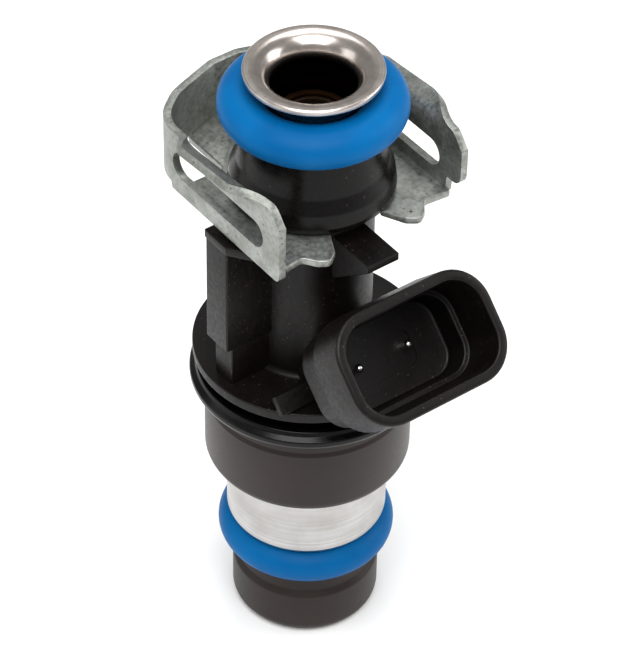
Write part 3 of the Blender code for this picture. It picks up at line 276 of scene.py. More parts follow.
@dataclass(frozen=True)
class Turned(Finish):
    """Turned or drawn metal: the eye sees fine rings round the axis and faint, larger stains."""

    line: float = 0.12
    depth: float = 0.002
    stain: float = 2.5
    # Painted shade in the bore: below bore_top the tone fades to this dark colour over bore_fade, inside
    # bore_radius.
    bore_shade_color: str = ""
    bore_top: float = 0.0
    bore_fade: float = 0.9
    bore_radius: float = 3.4
    bore_edge: float = 0.02

    metallic = 1.0

    def paint(self, tree: bpy.types.NodeTree, shader: bpy.types.Node, place: bpy.types.NodeSocket) -> None:
        """Rings from noise on radius and height, with stains over them and, if it has one, painted shade that
        darkens the bore with depth.

        Args:
            tree: the material's node tree.
            shader: the Principled node.
            place: the piece's Object coordinates.
        """
        rings = self.noise(tree, self.ring_place(tree, place), self.line, 2.0)
        stain = self.noise(tree, place, self.stain, 4.0)
        both = self.product(tree, rings, stain)
        tone = self.blend(tree, self.remap(tree, both, 0.12, 0.38), self.color, self.other_color)
        # Painted shade: the bore darkens from bore_top downwards.
        if self.bore_shade_color:
            height = add(tree, "ShaderNodeSeparateXYZ", {"Vector": place}).outputs["Z"]
            top = self.bore_top * MM
            deep = self.remap(tree, height, top, top - self.bore_fade * MM)
            radius = add(tree, "ShaderNodeSeparateXYZ", {"Vector": self.ring_place(tree, place)}).outputs["X"]
            inside = self.remap(tree, radius, (self.bore_radius + self.bore_edge) * MM,
                                (self.bore_radius - self.bore_edge) * MM)
            tone = self.blend(tree, self.product(tree, deep, inside), tone, self.bore_shade_color)
        rough = self.remap(tree, rings, 0.3, 0.7, self.roughness - self.spread, self.roughness + self.spread)
        tree.links.new(tone, shader.inputs["Base Color"])
        tree.links.new(rough, shader.inputs["Roughness"])
        self.relief(tree, shader, rings, self.depth)


@dataclass(frozen=True)
class ZincPlated(Finish):
    """Zinc-plated spring steel: the eye sees mottled patches, a fine crystal grain and small dark specks."""

    patch: float = 1.3
    grain: float = 0.32
    speck: float = 0.5
    speck_color: str = "#4B4C45"
    speck_share: float = 0.28
    depth: float = 0.02

    metallic = 0.75

    def paint(self, tree: bpy.types.NodeTree, shader: bpy.types.Node, place: bpy.types.NodeSocket) -> None:
        """Patches times grain as tone, then specks in some of the cells, and the grain as relief.

        Args:
            tree: the material's node tree.
            shader: the Principled node.
            place: the piece's Object coordinates.
        """
        patches = self.noise(tree, place, self.patch, 5.0)
        fine = self.noise(tree, place, self.grain, 4.0)
        mottle = self.product(tree, patches, fine)
        tone = self.blend(tree, self.remap(tree, mottle, 0.10, 0.40), self.color, self.other_color)
        cells = add(tree, "ShaderNodeTexVoronoi", {"Vector": place, "Scale": per_metre(self.speck)})
        spot = self.remap(tree, cells.outputs["Distance"], 0.08, 0.24, 0.8, 0.0)
        chance = add(tree, "ShaderNodeSeparateColor", {"Color": cells.outputs["Color"]})
        picked = self.remap(tree, chance.outputs[0], 1.0 - self.speck_share, 1.01 - self.speck_share)
        tone = self.blend(tree, self.product(tree, spot, picked), tone, self.speck_color)
        rough = self.remap(tree, fine, 0.3, 0.7, self.roughness - self.spread, self.roughness + self.spread)
        tree.links.new(tone, shader.inputs["Base Color"])
        tree.links.new(rough, shader.inputs["Roughness"])
        self.relief(tree, shader, fine, self.depth)


@dataclass(frozen=True)
class Wound(Finish):
    """Enamelled winding wire: the eye sees one fine line for each turn."""

    turn: float = 0.18

    metallic = 1.0

    def paint(self, tree: bpy.types.NodeTree, shader: bpy.types.Node, place: bpy.types.NodeSocket) -> None:
        """Bands along Z, one for each turn of wire; a band of a Wave node is pi / 10 of its scale wide.

        Args:
            tree: the material's node tree.
            shader: the Principled node.
            place: the piece's Object coordinates.
        """
        scale = math.pi / 10.0 * per_metre(self.turn)
        bands = add(tree, "ShaderNodeTexWave", {"Vector": place, "Scale": scale}, bands_direction="Z")
        tone = self.blend(tree, bands.outputs["Fac"], self.other_color, self.color)
        shader.inputs["Roughness"].default_value = self.roughness
        tree.links.new(tone, shader.inputs["Base Color"])
        self.relief(tree, shader, bands.outputs["Fac"], 0.04)


@dataclass(frozen=True)
class Woven(Finish):
    """Woven wire screen: the eye sees crossing wires. The mesh is drawn coarser than the real one to show."""

    wire: float = 0.22
    radius: float = 2.1

    metallic = 1.0

    def paint(self, tree: bpy.types.NodeTree, shader: bpy.types.Node, place: bpy.types.NodeSocket) -> None:
        """Bands along the height crossed with bands round the axis, the higher of the two on top.

        Args:
            tree: the material's node tree.
            shader: the Principled node.
            place: the piece's Object coordinates.
        """
        parts = add(tree, "ShaderNodeSeparateXYZ", {"Vector": place})
        angle = add(tree, "ShaderNodeMath", {0: parts.outputs["Y"], 1: parts.outputs["X"]},
                    operation="ARCTAN2")
        around = add(tree, "ShaderNodeMath", {0: angle.outputs["Value"], 1: self.radius * MM},
                     operation="MULTIPLY")
        flat = add(tree, "ShaderNodeCombineXYZ", {"X": around.outputs["Value"], "Y": parts.outputs["Z"]})
        scale = math.pi / 10.0 * per_metre(self.wire)
        bands = [add(tree, "ShaderNodeTexWave", {"Vector": flat.outputs["Vector"], "Scale": scale},
                     bands_direction=way).outputs["Fac"] for way in ("X", "Y")]
        top = add(tree, "ShaderNodeMath", {0: bands[0], 1: bands[1]}, operation="MAXIMUM")
        shader.inputs["Roughness"].default_value = self.roughness
        tree.links.new(self.blend(tree, top.outputs["Value"], self.other_color, self.color),
                       shader.inputs["Base Color"])
        self.relief(tree, shader, top.outputs["Value"], 0.05)


class Finishes:
    """The finishes of the injector, each named for its slot in the record."""

    # Glass-filled nylon, moulded in a spark-eroded tool: warm black, a dull sheen and pale glass flecks.
    NYLON = Moulded("black_nylon", "#070403", "#0F0A09", 0.42, 0.08, cloud=3.0, grain=0.3, depth=0.014,
                    fleck_size=0.34, fleck_share=0.22, fleck_color="#453C36", specular=0.22)
    # The same nylon where the tool was polished, round the collar: deeper black, with a clearer sheen.
    SMOOTH_NYLON = Moulded("smooth_nylon", "#040202", "#080504", 0.28, 0.05, cloud=3.0, grain=0.5,
                           depth=0.004, fleck_size=0.5, fleck_share=0.1, fleck_color="#3A332E",
                           specular=0.18)
    # Polished moulding: deep black with thin reflections.
    GLOSS_BLACK = Moulded("gloss_black", "#040303", "#070606", 0.24, 0.04, cloud=3.0, grain=0.6,
                          depth=0.002, specular=0.2)
    # Drawn steel with a dark conversion coat: warm brown grey, satin, almost no grain.
    DARK_STEEL = Moulded("dark_steel", "#1C120E", "#221712", 0.4, 0.04, cloud=6.0, grain=0.2, depth=0.003,
                         specular=0.3)
    # Moulded cap of the tip: the same brown black as the housing, a little duller.
    TIP_PLASTIC = Moulded("tip_plastic", "#1D130E", "#231813", 0.46, 0.05, cloud=4.0, grain=0.25,
                          depth=0.004, fleck_share=0.03, fleck_size=0.6, fleck_color="#6A4E40", specular=0.3)
    # Turned stainless steel: bright, with rings from the tool.
    STAINLESS = Turned("stainless_steel", "#A9A6A3", "#C8C7C6", 0.34, 0.06, line=0.16, depth=0.0012)
    # Drawn and polished tube end: warm satin grey outside; inside, painted shade in dark brown that deepens
    # down the bore.
    INLET_STEEL = Turned("inlet_steel", "#ADA49D", "#CBC4BE", 0.26, 0.05, line=0.5, depth=0.001, stain=1.2,
                         bore_shade_color="#1A0F0A", bore_top=53.6)
    # Zinc plate, passivated clear: pale grey, mottled, with dark specks.
    ZINC = ZincPlated("zinc_plate", "#74766F", "#A3A6A1", 0.42, 0.1)
    # Fluorosilicone rubber: strong blue, satin, with a mould's soft surface.
    BLUE_RUBBER = Moulded("blue_rubber", "#005690", "#00609C", 0.45, 0.05, cloud=5.0, grain=0.5, depth=0.004,
                          specular=0.08)
    # Nitrile rubber of the inner seals: plain green, dull.
    GREEN_RUBBER = Moulded("green_rubber", "#1E6B45", "#287B50", 0.5, cloud=1.5, grain=0.15)
    # Tin-plated brass contact: bright and smooth.
    TIN = Turned("bright_tin", "#D6D6D4", "#F0F0EE", 0.16, 0.04, line=0.1, depth=0.001)
    # Drawn brass tube: warm yellow, with fine lines.
    BRASS = Turned("brass", "#A98B4C", "#CDAE6A", 0.3, 0.05)
    # Brass frame of the inlet filter, stained brown by fuel.
    STAINED_BRASS = Turned("stained_brass", "#2C1B10", "#3E2818", 0.5, 0.06)
    # Woven wire gauze of the filter, stained brown by fuel.
    SCREEN = Woven("mesh_steel", "#4A3B30", "#120C08", 0.5)
    # Turned magnetic iron: plain grey, satin.
    MAGNETIC = Turned("magnetic_steel", "#7F7F82", "#A5A5A8", 0.34, 0.06)
    # Patented spring wire: drawn lines and a blue-grey tone.
    SPRING = Turned("spring_steel", "#6E7076", "#9A9CA2", 0.3, 0.05, line=0.08)
    # Unfilled nylon of the bobbin: pale cream, with soft clouds.
    BOBBIN = Moulded("bobbin_nylon", "#C2B69A", "#D2C8AE", 0.48, cloud=2.0, grain=0.2)
    # Enamelled copper wire: warm orange, with a dark line between turns.
    COPPER = Wound("copper_wire", "#B5622F", "#4A2412", 0.32)
    # Ground and lapped bearing ball: mirror bright.
    BALL = Turned("ball_steel", "#C8C8CC", "#E0E0E4", 0.09, 0.02, line=0.3, depth=0.0004)


# ---------------------------------------------------------------------------------------------
# Shapes as arrays of points


@dataclass
class Shell:
    """A surface: an array of points in millimetres, and blocks of faces with equally many corners."""

    points: np.ndarray
    faces: list[np.ndarray] = field(default_factory=list)

    def __add__(self, other: "Shell") -> "Shell":
        """Both surfaces as one."""
        shifted = [block + len(self.points) for block in other.faces]
        return Shell(np.vstack([self.points, other.points]), self.faces + shifted)

    def placed(self, matrix: Matrix) -> "Shell":
        """The same surface, moved and turned by a matrix in millimetres."""
        turn = np.array(matrix)
        return Shell(self.points @ turn[:3, :3].T + turn[:3, 3], self.faces)


def quads(columns: int, rows: int, round_columns: bool = False, round_rows: bool = False) -> np.ndarray:
    """Numbers the corners of the quads between neighbouring points of a grid.

    Args:
        columns: number of columns; a point's number is column * rows + row.
        rows: number of rows.
        round_columns: whether the last column joins the first.
        round_rows: whether the last row joins the first.

    Returns:
        One line of four point numbers for each quad.
    """
    i, j = np.meshgrid(np.arange(columns - (not round_columns)), np.arange(rows - (not round_rows)),
                       indexing="ij")
    i, j = i.ravel(), j.ravel()
    after, above = (i + 1) % columns, (j + 1) % rows
    return np.stack([i * rows + j, after * rows + j, after * rows + above, i * rows + above], axis=1)


def lathe(profile: np.ndarray, segments: int = 144, closed: bool = True) -> Shell:
    """Turns a profile round the Z axis.

    A point at angle a is (r cos a, r sin a, z), where (r, z) runs along the profile.

    Args:
        profile: radius and height of each point.
        segments: steps round the axis.
        closed: whether the last point joins the first. An open profile starts and ends on the axis.

    Returns:
        The turned surface.
    """
    angle = np.linspace(0.0, TURN, segments, endpoint=False)[:, None]
    radius, height = profile[:, 0][None, :], profile[:, 1][None, :]
    points = np.stack([radius * np.cos(angle), radius * np.sin(angle), height + 0.0 * angle], axis=2)
    return Shell(points.reshape(-1, 3), [quads(segments, len(profile), True, closed)])


def rounded(corners: Sequence[tuple[float, float, float]], spacing: float = 12.0) -> np.ndarray:
    """Outline whose corners are arcs tangent to both sides.

    The arc of a corner with half angle h and radius r touches the sides r / tan h from the corner, and
    its centre lies r / sin h from the corner, on the line that halves the angle.

    Args:
        corners: x, y and radius of each corner of a closed outline.
        spacing: degrees that one step of an arc turns.

    Returns:
        The outline's points.
    """
    places = np.array([corner[:2] for corner in corners], float)
    pieces = []
    for index, (x, y, radius) in enumerate(corners):
        corner = places[index]
        before = places[index - 1] - corner
        after = places[(index + 1) % len(corners)] - corner
        before, after = before / np.linalg.norm(before), after / np.linalg.norm(after)
        half = math.acos(float(np.clip(before @ after, -1.0, 1.0))) / 2.0
        if radius <= 0.0 or half > math.radians(89.5):
            pieces.append(corner[None, :])
            continue
        middle = corner + (before + after) / np.linalg.norm(before + after) * radius / math.sin(half)
        start = corner + before * radius / math.tan(half) - middle
        sweep = math.pi - 2.0 * half
        turn = math.copysign(1.0, before[1] * after[0] - before[0] * after[1])
        steps = max(2, math.ceil(math.degrees(sweep) / spacing))
        angle = math.atan2(start[1], start[0]) + turn * np.linspace(0.0, sweep, steps + 1)
        pieces.append(middle + radius * np.stack([np.cos(angle), np.sin(angle)], axis=1))
    return np.vstack(pieces)


def rectangle(width: float, height: float, radius: float, steps: int = 12) -> np.ndarray:
    """Rectangle about the origin with round corners and always the same number of points.

    Each corner's arc of the given radius stands at (+-(width / 2 - radius), +-(height / 2 - radius)).

    Args:
        width: size along x.
        height: size along y.
        radius: radius of the corners.
        steps: steps of one corner.

    Returns:
        The outline's points, counter-clockwise.
    """
    quarter = np.linspace(0.0, math.pi / 2.0, steps + 1)
    angle = (np.arange(4)[:, None] * math.pi / 2.0 + quarter[None, :]).ravel()
    sign_x = np.repeat([1.0, -1.0, -1.0, 1.0], steps + 1)
    sign_y = np.repeat([1.0, 1.0, -1.0, -1.0], steps + 1)
    x = sign_x * (width / 2.0 - radius) + radius * np.cos(angle)
    y = sign_y * (height / 2.0 - radius) + radius * np.sin(angle)
    return np.stack([x, y], axis=1)


def inset(outline: np.ndarray, distance: float) -> np.ndarray:
    """Moves each side of a counter-clockwise outline inwards.

    A corner moves along the sum of its two sides' normals, by the distance over half that sum's square.

    Args:
        outline: the outline's points.
        distance: how far each side moves.

    Returns:
        The smaller outline, with as many points.
    """
    along = np.roll(outline, -1, axis=0) - outline
    along /= np.linalg.norm(along, axis=1, keepdims=True)
    normal = np.stack([-along[:, 1], along[:, 0]], axis=1)
    both = normal + np.roll(normal, 1, axis=0)
    return outline + both * (2.0 * distance / np.sum(both * both, axis=1, keepdims=True))


def loft(rings: np.ndarray) -> Shell:
    """Surface through rings of equally many points, with both ends closed by a flat face.

    Args:
        rings: an array of ring, point and coordinate.

    Returns:
        The surface.
    """
    count, around = rings.shape[:2]
    ends = [np.arange(around)[None, :], np.arange((count - 1) * around, count * around)[None, :]]
    return Shell(rings.reshape(-1, 3), [quads(count, around, False, True), *ends])


def prism(outline: np.ndarray, height: float, edge: float, steps: int = 3) -> Shell:
    """Flat outline made thick, with round edges above and below.

    The edge is a quarter circle: at angle a the ring is inset by edge (1 - cos a) and stands
    edge (1 - sin a) from the face.

    Args:
        outline: counter-clockwise points.
        height: thickness along Z, from 0.
        edge: radius of the edges.
        steps: steps of one edge.

    Returns:
        The closed surface.
    """
    angle = np.linspace(math.pi / 2.0, 0.0, steps + 1)
    inward, rise = edge * (1.0 - np.cos(angle)), edge * (1.0 - np.sin(angle))
    inward = np.concatenate([inward, inward[::-1]])
    rise = np.concatenate([rise, height - rise[::-1]])
    rings = [np.column_stack([inset(outline, share), np.full(len(outline), level)])
             for share, level in zip(inward, rise)]
    return loft(np.stack(rings))


def rod(path: np.ndarray, radius: np.ndarray, across: np.ndarray, sides: int = 28) -> Shell:
    """Round bar along a path in one plane.

    Round each point stands a circle in the plane of the normals, made from the path's own normal and the
    direction across its plane.

    Args:
        path: points along the middle.
        radius: the bar's radius at each point.
        across: unit vector square to the path's plane.
        sides: points round the bar.

    Returns:
        The surface, closed at both ends.
    """
    along = np.gradient(path, axis=0)
    along /= np.linalg.norm(along, axis=1, keepdims=True)
    normal = np.cross(along, across)
    angle = np.linspace(0.0, TURN, sides, endpoint=False)[None, :, None]
    around = normal[:, None, :] * np.cos(angle) + across[None, None, :] * np.sin(angle)
    return loft(path[:, None, :] + radius[:, None, None] * around)


def smooth_step(value: np.ndarray, low: float, high: float) -> np.ndarray:
    """0 below low, 1 above high, and 3 t^2 - 2 t^3 between them."""
    share = np.clip((value - low) / (high - low), 0.0, 1.0)
    return share * share * (3.0 - 2.0 * share)


def make_object(name: str, shell: Shell, sharp: float = 38.0) -> bpy.types.Object:
    """Turns a surface into a mesh object at the origin, in metres, with its faces pointing out.

    Args:
        name: the piece's name.
        shell: the surface in millimetres.
        sharp: degrees between faces above which an edge stays sharp.

    Returns:
        The object.
    """
    mesh = bpy.data.meshes.new(name)
    faces = [corners for block in shell.faces for corners in block.tolist()]
    mesh.from_pydata((shell.points * MM).tolist(), [], faces)
    bm = bmesh.new()
    bm.from_mesh(mesh)
    bmesh.ops.remove_doubles(bm, verts=bm.verts, dist=1e-7)
    bmesh.ops.recalc_face_normals(bm, faces=bm.faces)
    bm.to_mesh(mesh)
    bm.free()
    mesh.shade_smooth()
    mesh.set_sharp_from_angle(angle=math.radians(sharp))
    obj = bpy.data.objects.new(name, mesh)
    bpy.context.scene.collection.objects.link(obj)
    return obj


def span(node: str) -> tuple[np.ndarray, np.ndarray]:
    """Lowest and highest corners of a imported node, in millimetres."""
    low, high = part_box(node)
    return np.array(low) / MM, np.array(high) / MM


# ---------------------------------------------------------------------------------------------
# Sub-assemblies


@dataclass
class Assembly:
    """What every sub-assembly does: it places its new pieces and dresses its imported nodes."""

    def place(self, name: str, shell: Shell, finish: Finish, body: Body = Body.FIXED,
              replaced: Sequence[str] = (), slot: str | None = None, sharp: float = 38.0) -> bpy.types.Object:
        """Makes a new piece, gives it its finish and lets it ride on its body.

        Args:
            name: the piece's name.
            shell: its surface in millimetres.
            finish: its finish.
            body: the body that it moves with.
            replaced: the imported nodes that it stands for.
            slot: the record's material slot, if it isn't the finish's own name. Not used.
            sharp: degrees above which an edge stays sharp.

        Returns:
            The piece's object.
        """
        piece = make_object(name, shell, sharp)
        piece.data.materials.append(finish.material())
        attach(piece, body.value)
        if replaced:
            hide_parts(*replaced)
        log.info("%s: %d points, rides on %s", name, len(piece.data.vertices), body.value)
        return piece

    def dress(self, node: str, finish: Finish) -> None:
        """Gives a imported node, whose shape stays, its finish.

        Args:
            node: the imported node's name.
            finish: its finish.
        """
        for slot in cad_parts[node].material_slots:
            slot.material = finish.material()
        log.info("%s: packed shape with finish %s", node, finish.name)

    def build(self) -> None:
        """Builds and dresses everything in the sub-assembly."""
        raise NotImplementedError


@dataclass
class ORing(Assembly):
    """Rubber O-ring, squeezed a little along its axis."""

    node: str = "upper_o_ring"
    section: float = 3.53
    sides: int = 56

    def build(self) -> None:
        """An ellipse turned round the axis: its half axes are the ring's half width and half height."""
        low, high = span(self.node)
        outer, half_height = high[0], (high[2] - low[2]) / 2.0
        half_width = self.section / 2.0
        angle = np.linspace(0.0, TURN, self.sides, endpoint=False)
        profile = np.stack([outer - half_width + half_width * np.cos(angle),
                            low[2] + half_height + half_height * np.sin(angle)], axis=1)
        self.place(self.node.replace("o_ring", "seal_ring"), lathe(profile), Finishes.BLUE_RUBBER,
                   replaced=[self.node])


@dataclass
class Tip(Assembly):
    """Tip cap and the bright valve body above it."""

    cap_radius: float = 6.03
    cap_shoulder: float = 4.3
    cap_top_radius: float = 5.55
    cap_corner: float = 1.1
    cap_floor: float = 0.7
    spray_radius: float = 2.1
    nose_radius: float = 3.47
    nose_bore: float = 2.62
    band_radius: float = 6.51
    band_height: float = 6.0
    neck_radius: float = 5.7
    clearance: float = 0.3
    fit: float = 0.15

    def cap(self) -> Shell:
        """Turned cap: a rounded foot, a bevelled shoulder and an open middle for the spray.

        Returns:
            The closed surface of the cap.
        """
        top = span("tip_retainer")[1][2]
        bore = self.nose_radius + self.clearance
        bevel_top = self.cap_shoulder + 0.45
        return lathe(rounded([
            (self.spray_radius, 0.0, 0.15), (self.cap_radius, 0.0, self.cap_corner),
            (self.cap_radius, self.cap_shoulder, 0.35), (self.cap_top_radius + 0.1, bevel_top, 0.35),
            (self.cap_top_radius, top, 0.15), (bore, top, 0.1), (bore, self.cap_floor, 0.1),
            (self.spray_radius, self.cap_floor, 0.1)]))

    def valve_body(self) -> Shell:
        """Turned body: the nose, the band with a fine bevel below, and the neck inside the housing.

        Returns:
            The closed surface of the body.
        """
        low, high = span("valve_body")
        band_bottom = span("lower_o_ring")[1][2] + self.clearance
        band_top = band_bottom + self.band_height
        chamber = span("armature")[0][2] - self.clearance
        sleeve_low = span("nonmagnetic_sleeve")[0][2] - self.fit
        sleeve_room = span("nonmagnetic_sleeve")[1][0] + self.fit
        armature_room = span("armature")[1][0] + self.clearance
        return lathe(rounded([
            (self.nose_bore, low[2], 0.05), (self.nose_radius, low[2], 0.1),
            (self.nose_radius, band_bottom, 0.1), (self.band_radius - 0.16, band_bottom, 0.05),
            (self.band_radius, band_bottom + 0.3, 0.12), (self.band_radius, band_top, 0.12),
            (self.neck_radius, band_top, 0.1), (self.neck_radius, high[2], 0.1),
            (sleeve_room, high[2], 0.0), (sleeve_room, sleeve_low, 0.0), (armature_room, sleeve_low, 0.0),
            (armature_room, chamber, 0.0), (self.nose_bore, chamber, 0.0)]))

    def build(self) -> None:
        """Places the cap and the body."""
        self.place("tip_cap", self.cap(), Finishes.TIP_PLASTIC, replaced=["tip_retainer"])
        self.place("bright_valve_body", self.valve_body(), Finishes.STAINLESS, replaced=["valve_body"])


@dataclass
class Housing(Assembly):
    """Drawn steel can round the coil, and the glossy ring on top of it."""

    radius: float = 8.27
    top_radius: float = 8.1
    wall: float = 1.0
    corner: float = 1.0
    shoulder_drop: float = 1.75
    floor_bore: float = 6.0
    ring_radius: float = 9.45
    ring_ridge: float = 8.9
    ring_bore: float = 6.9

    def can(self) -> Shell:
        """Turned can with a rounded foot and a turned-in shoulder under its top.

        Returns:
            The closed surface of the can.
        """
        low, high = span("solenoid_housing")
        shoulder = high[2] - self.shoulder_drop
        bore = self.radius - self.wall
        return lathe(rounded([
            (self.floor_bore, low[2], 0.1), (self.radius, low[2], self.corner),
            (self.radius, shoulder, 0.2), (self.top_radius, shoulder + 0.35, 0.2),
            (self.top_radius, high[2], 0.1), (bore, high[2], 0.1), (bore, low[2] + self.wall, 0.3),
            (self.floor_bore, low[2] + self.wall, 0.1)]), 192)

    def ring(self) -> Shell:
        """Turned ring: a round brim, a bevel with a narrow land, and a groove behind the ridge.

        Returns:
            The closed surface of the ring.
        """
        low, high = span("end_ring")
        bottom, top = low[2], high[2]
        return lathe(rounded([
            (self.ring_bore, bottom, 0.1), (self.ring_radius - 0.1, bottom, 0.12),
            (self.ring_radius, bottom + 0.28, 0.12), (self.ring_radius, bottom + 0.66, 0.2),
            (self.ring_ridge + 0.12, top - 0.34, 0.2), (self.ring_ridge, top, 0.12),
            (self.ring_ridge - 0.4, top, 0.1), (self.ring_ridge - 0.55, top - 0.32, 0.1),
            (self.ring_bore, top - 0.32, 0.1)], 15.0), 192)

    def build(self) -> None:
        """Places the can and the ring."""
        self.place("coil_housing", self.can(), Finishes.DARK_STEEL, replaced=["solenoid_housing"])
        self.place("housing_end_ring", self.ring(), Finishes.GLOSS_BLACK, replaced=["end_ring"])


@dataclass
class Moulding(Assembly):
    """Black moulding: core, neck, collar, lugs and the connector."""

    stem_radius: float = 8.2
    disc_radius: float = 9.2
    disc_height: float = 0.9
    stem_height: float = 0.95
    body_radius: float = 4.87
    body_height: float = 14.5
    clearance: float = 0.3
    sheet: float = 0.62
    neck_length: float = 6.6
    neck_width: float = 4.1
    collar_radius: float = 6.43
    collar_waist: float = 5.8
    collar_top_radius: float = 5.3
    collar_skirt: float = 2.8
    collar_floor: float = 0.8
    tube_radius: float = 3.47
    waist_bore: float = 1.65
    spigot_radius: float = 6.6
    fit: float = 0.15
    connector_tilt: float = 45.0
    connector_reach: float = 14.1
    connector_rise: float = 9.15
    connector_width: float = 14.15
    connector_depth: float = 9.06
    connector_corner: float = 3.3
    connector_wall: float = 0.85
    barrel_length: float = 4.1
    barrel_step: float = 0.75
    trunk_length: float = 7.7
    root_width: float = 7.2
    socket_depth: float = 7.1
    step_depth: float = 4.6
    step_width: float = 0.5
    pin_well_depth: float = 9.0
    pin_well_size: tuple[float, float, float] = (6.1, 3.0, 0.8)
    wing_span: float = 14.6
    wing_height: float = 1.6
    wing_thickness: float = 0.7
    wing_reach: float = 5.6
    lug_reach: float = 9.0
    lug_root: float = 2.4
    lug_width: float = 2.88
    lug_thickness: float = 0.65
    gusset_height: float = 3.3
    ledge_front: float = 3.2
    ledge_side: float = 9.0
    block_height: float = 10.7
    block_side: float = 8.9
    rib_side: float = 8.25
    stop_root: float = -2.6

    def __post_init__(self) -> None:
        """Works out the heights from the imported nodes."""
        low, high = span("overmold_body")
        self.spigot_bottom, self.collar_top = float(low[2]), float(high[2])
        self.stem_bottom = float(span("end_ring")[1][2]) + self.clearance
        self.disc_bottom = self.stem_bottom + self.stem_height
        self.disc_top = self.disc_bottom + self.disc_height
        self.body_top = self.disc_top + self.body_height
        self.collar_bottom = self.body_top + 2.0 * self.clearance + self.sheet
        self.pole_room = float(span("pole_piece")[1][0]) + self.fit
        self.pole_top = float(span("pole_piece")[1][2]) + self.fit

    def core(self) -> Shell:
        """Turned core: spigot, stem, disc with a soft edge, a fillet and the upright body.

        Returns:
            The closed surface of the core.
        """
        return lathe(rounded([
            (self.pole_room, self.spigot_bottom, 0.0), (self.spigot_radius, self.spigot_bottom, 0.1),
            (self.spigot_radius, self.stem_bottom, 0.0), (self.stem_radius, self.stem_bottom, 0.1),
            (self.stem_radius, self.disc_bottom, 0.08), (self.disc_radius, self.disc_bottom, 0.12),
            (self.disc_radius, self.disc_top, 0.12), (self.body_radius, self.disc_top, 0.5),
            (self.body_radius, self.body_top, 0.3), (self.waist_bore, self.body_top, 0.0),
            (self.waist_bore, self.pole_top, 0.0), (self.pole_room, self.pole_top, 0.0)]), 192)

    def neck(self) -> Shell:
        """Oval neck through the clip's slot: an oval and a round bore joined at both ends.

        Returns:
            The closed surface of the neck.
        """
        low, high = self.body_top - 0.5, self.collar_bottom + 0.5
        oval = rectangle(self.neck_length, self.neck_width, self.neck_width / 2.0 - 0.01, 24)
        angle = np.arctan2(oval[:, 1], oval[:, 0])
        bore = self.waist_bore * np.stack([np.cos(angle), np.sin(angle)], axis=1)
        rings = [np.column_stack([ring, np.full(len(ring), level)])
                 for ring, level in ((oval, low), (oval, high), (bore, high), (bore, low))]
        points = np.stack(rings)
        return Shell(points.reshape(-1, 3), [quads(4, len(oval), True, True)])

    def collar(self) -> Shell:
        """Turned collar: a flared skirt, a soft waist and a straight top, bored for the inlet tube.

        Returns:
            The closed surface of the collar.
        """
        bottom, floor = self.collar_bottom, self.collar_bottom + self.collar_floor
        bore = self.tube_radius + self.fit
        return lathe(rounded([
            (self.waist_bore, bottom, 0.0), (self.collar_radius - 0.05, bottom, 0.2),
            (self.collar_radius, bottom + 0.5, 0.4), (self.collar_radius - 0.15, bottom + 1.6, 0.8),
            (self.collar_waist, bottom + self.collar_skirt, 1.2),
            (self.collar_top_radius, self.collar_top, 0.25), (bore, self.collar_top, 0.1),
            (bore, floor, 0.0), (self.waist_bore, floor, 0.0)], 8.0), 168)

    def connector_matrix(self, depth: float) -> Matrix:
        """Frame on the connector's axis, depth below its rim: x is +Y, y the short side, z the axis.

        Args:
            depth: distance below the rim, along the axis.

        Returns:
            The frame as a matrix in millimetres.
        """
        tilt = math.radians(self.connector_tilt)
        axis = Vector((math.cos(tilt), 0.0, math.sin(tilt)))
        short = Vector((-math.sin(tilt), 0.0, math.cos(tilt)))
        origin = Vector((self.connector_reach, 0.0, self.disc_top + self.connector_rise)) - axis * depth
        columns = (Vector((0.0, 1.0, 0.0)), short, axis)
        turn = Matrix([[column[row] for column in columns] for row in range(3)]).to_4x4()
        return Matrix.Translation(origin) @ turn

    def section(self, inward: float) -> np.ndarray:
        """Outline of the connector, smaller by inward on every side."""
        return rectangle(self.connector_width - 2.0 * inward, self.connector_depth - 2.0 * inward,
                         self.connector_corner - inward)

    def connector(self) -> Shell:
        """Barrel, trunk and socket as one closed surface.

        A rounded rectangle is carried along the axis, down the outside and back into the socket: each ring
        has a depth below the rim and an inset. The last rings are the smaller well round the pins.

        Returns:
            The closed surface of the connector.
        """
        wall, step = self.connector_wall, self.barrel_step
        well = wall + self.step_width
        path = rounded([
            (self.trunk_length, step + 1.0, 0.0), (self.trunk_length, step, 0.4),
            (self.barrel_length, step, 0.25), (self.barrel_length, 0.0, 0.2), (0.0, 0.0, 0.28),
            (0.0, wall, 0.2), (self.step_depth, wall, 0.15), (self.step_depth, well, 0.18),
            (self.socket_depth, well, 0.25), (self.socket_depth, well + 1.0, 0.0)], 18.0)
        outlines = [(depth, self.section(inward)) for depth, inward in path]
        pin_well = rectangle(*self.pin_well_size)
        outlines += [(self.socket_depth, pin_well), (self.pin_well_depth, pin_well)]
        rings = [np.column_stack([outline, np.full(len(outline), -depth)]) for depth, outline in outlines]
        matrix = np.array(self.connector_matrix(0.0))
        return loft(np.stack(rings) @ matrix[:3, :3].T + matrix[:3, 3])

    def root(self) -> Shell:
        """Narrow root of the trunk.

        A rounded rectangle starts inside the trunk, and each of its points slides down along the
        connector's axis to a level inside the disc.

        Returns:
            The closed surface of the root.
        """
        matrix = np.array(self.connector_matrix(self.trunk_length - 0.5))
        outline = rectangle(self.root_width, self.connector_depth - 2.0 * self.barrel_step,
                            self.connector_corner - self.barrel_step)
        first = np.column_stack([outline, np.zeros(len(outline))]) @ matrix[:3, :3].T + matrix[:3, 3]
        axis = matrix[:3, 2]
        level = self.disc_bottom + self.disc_height / 3.0
        last = first - axis * ((first[:, 2] - level) / axis[2])[:, None]
        return loft(np.stack([first, last]))

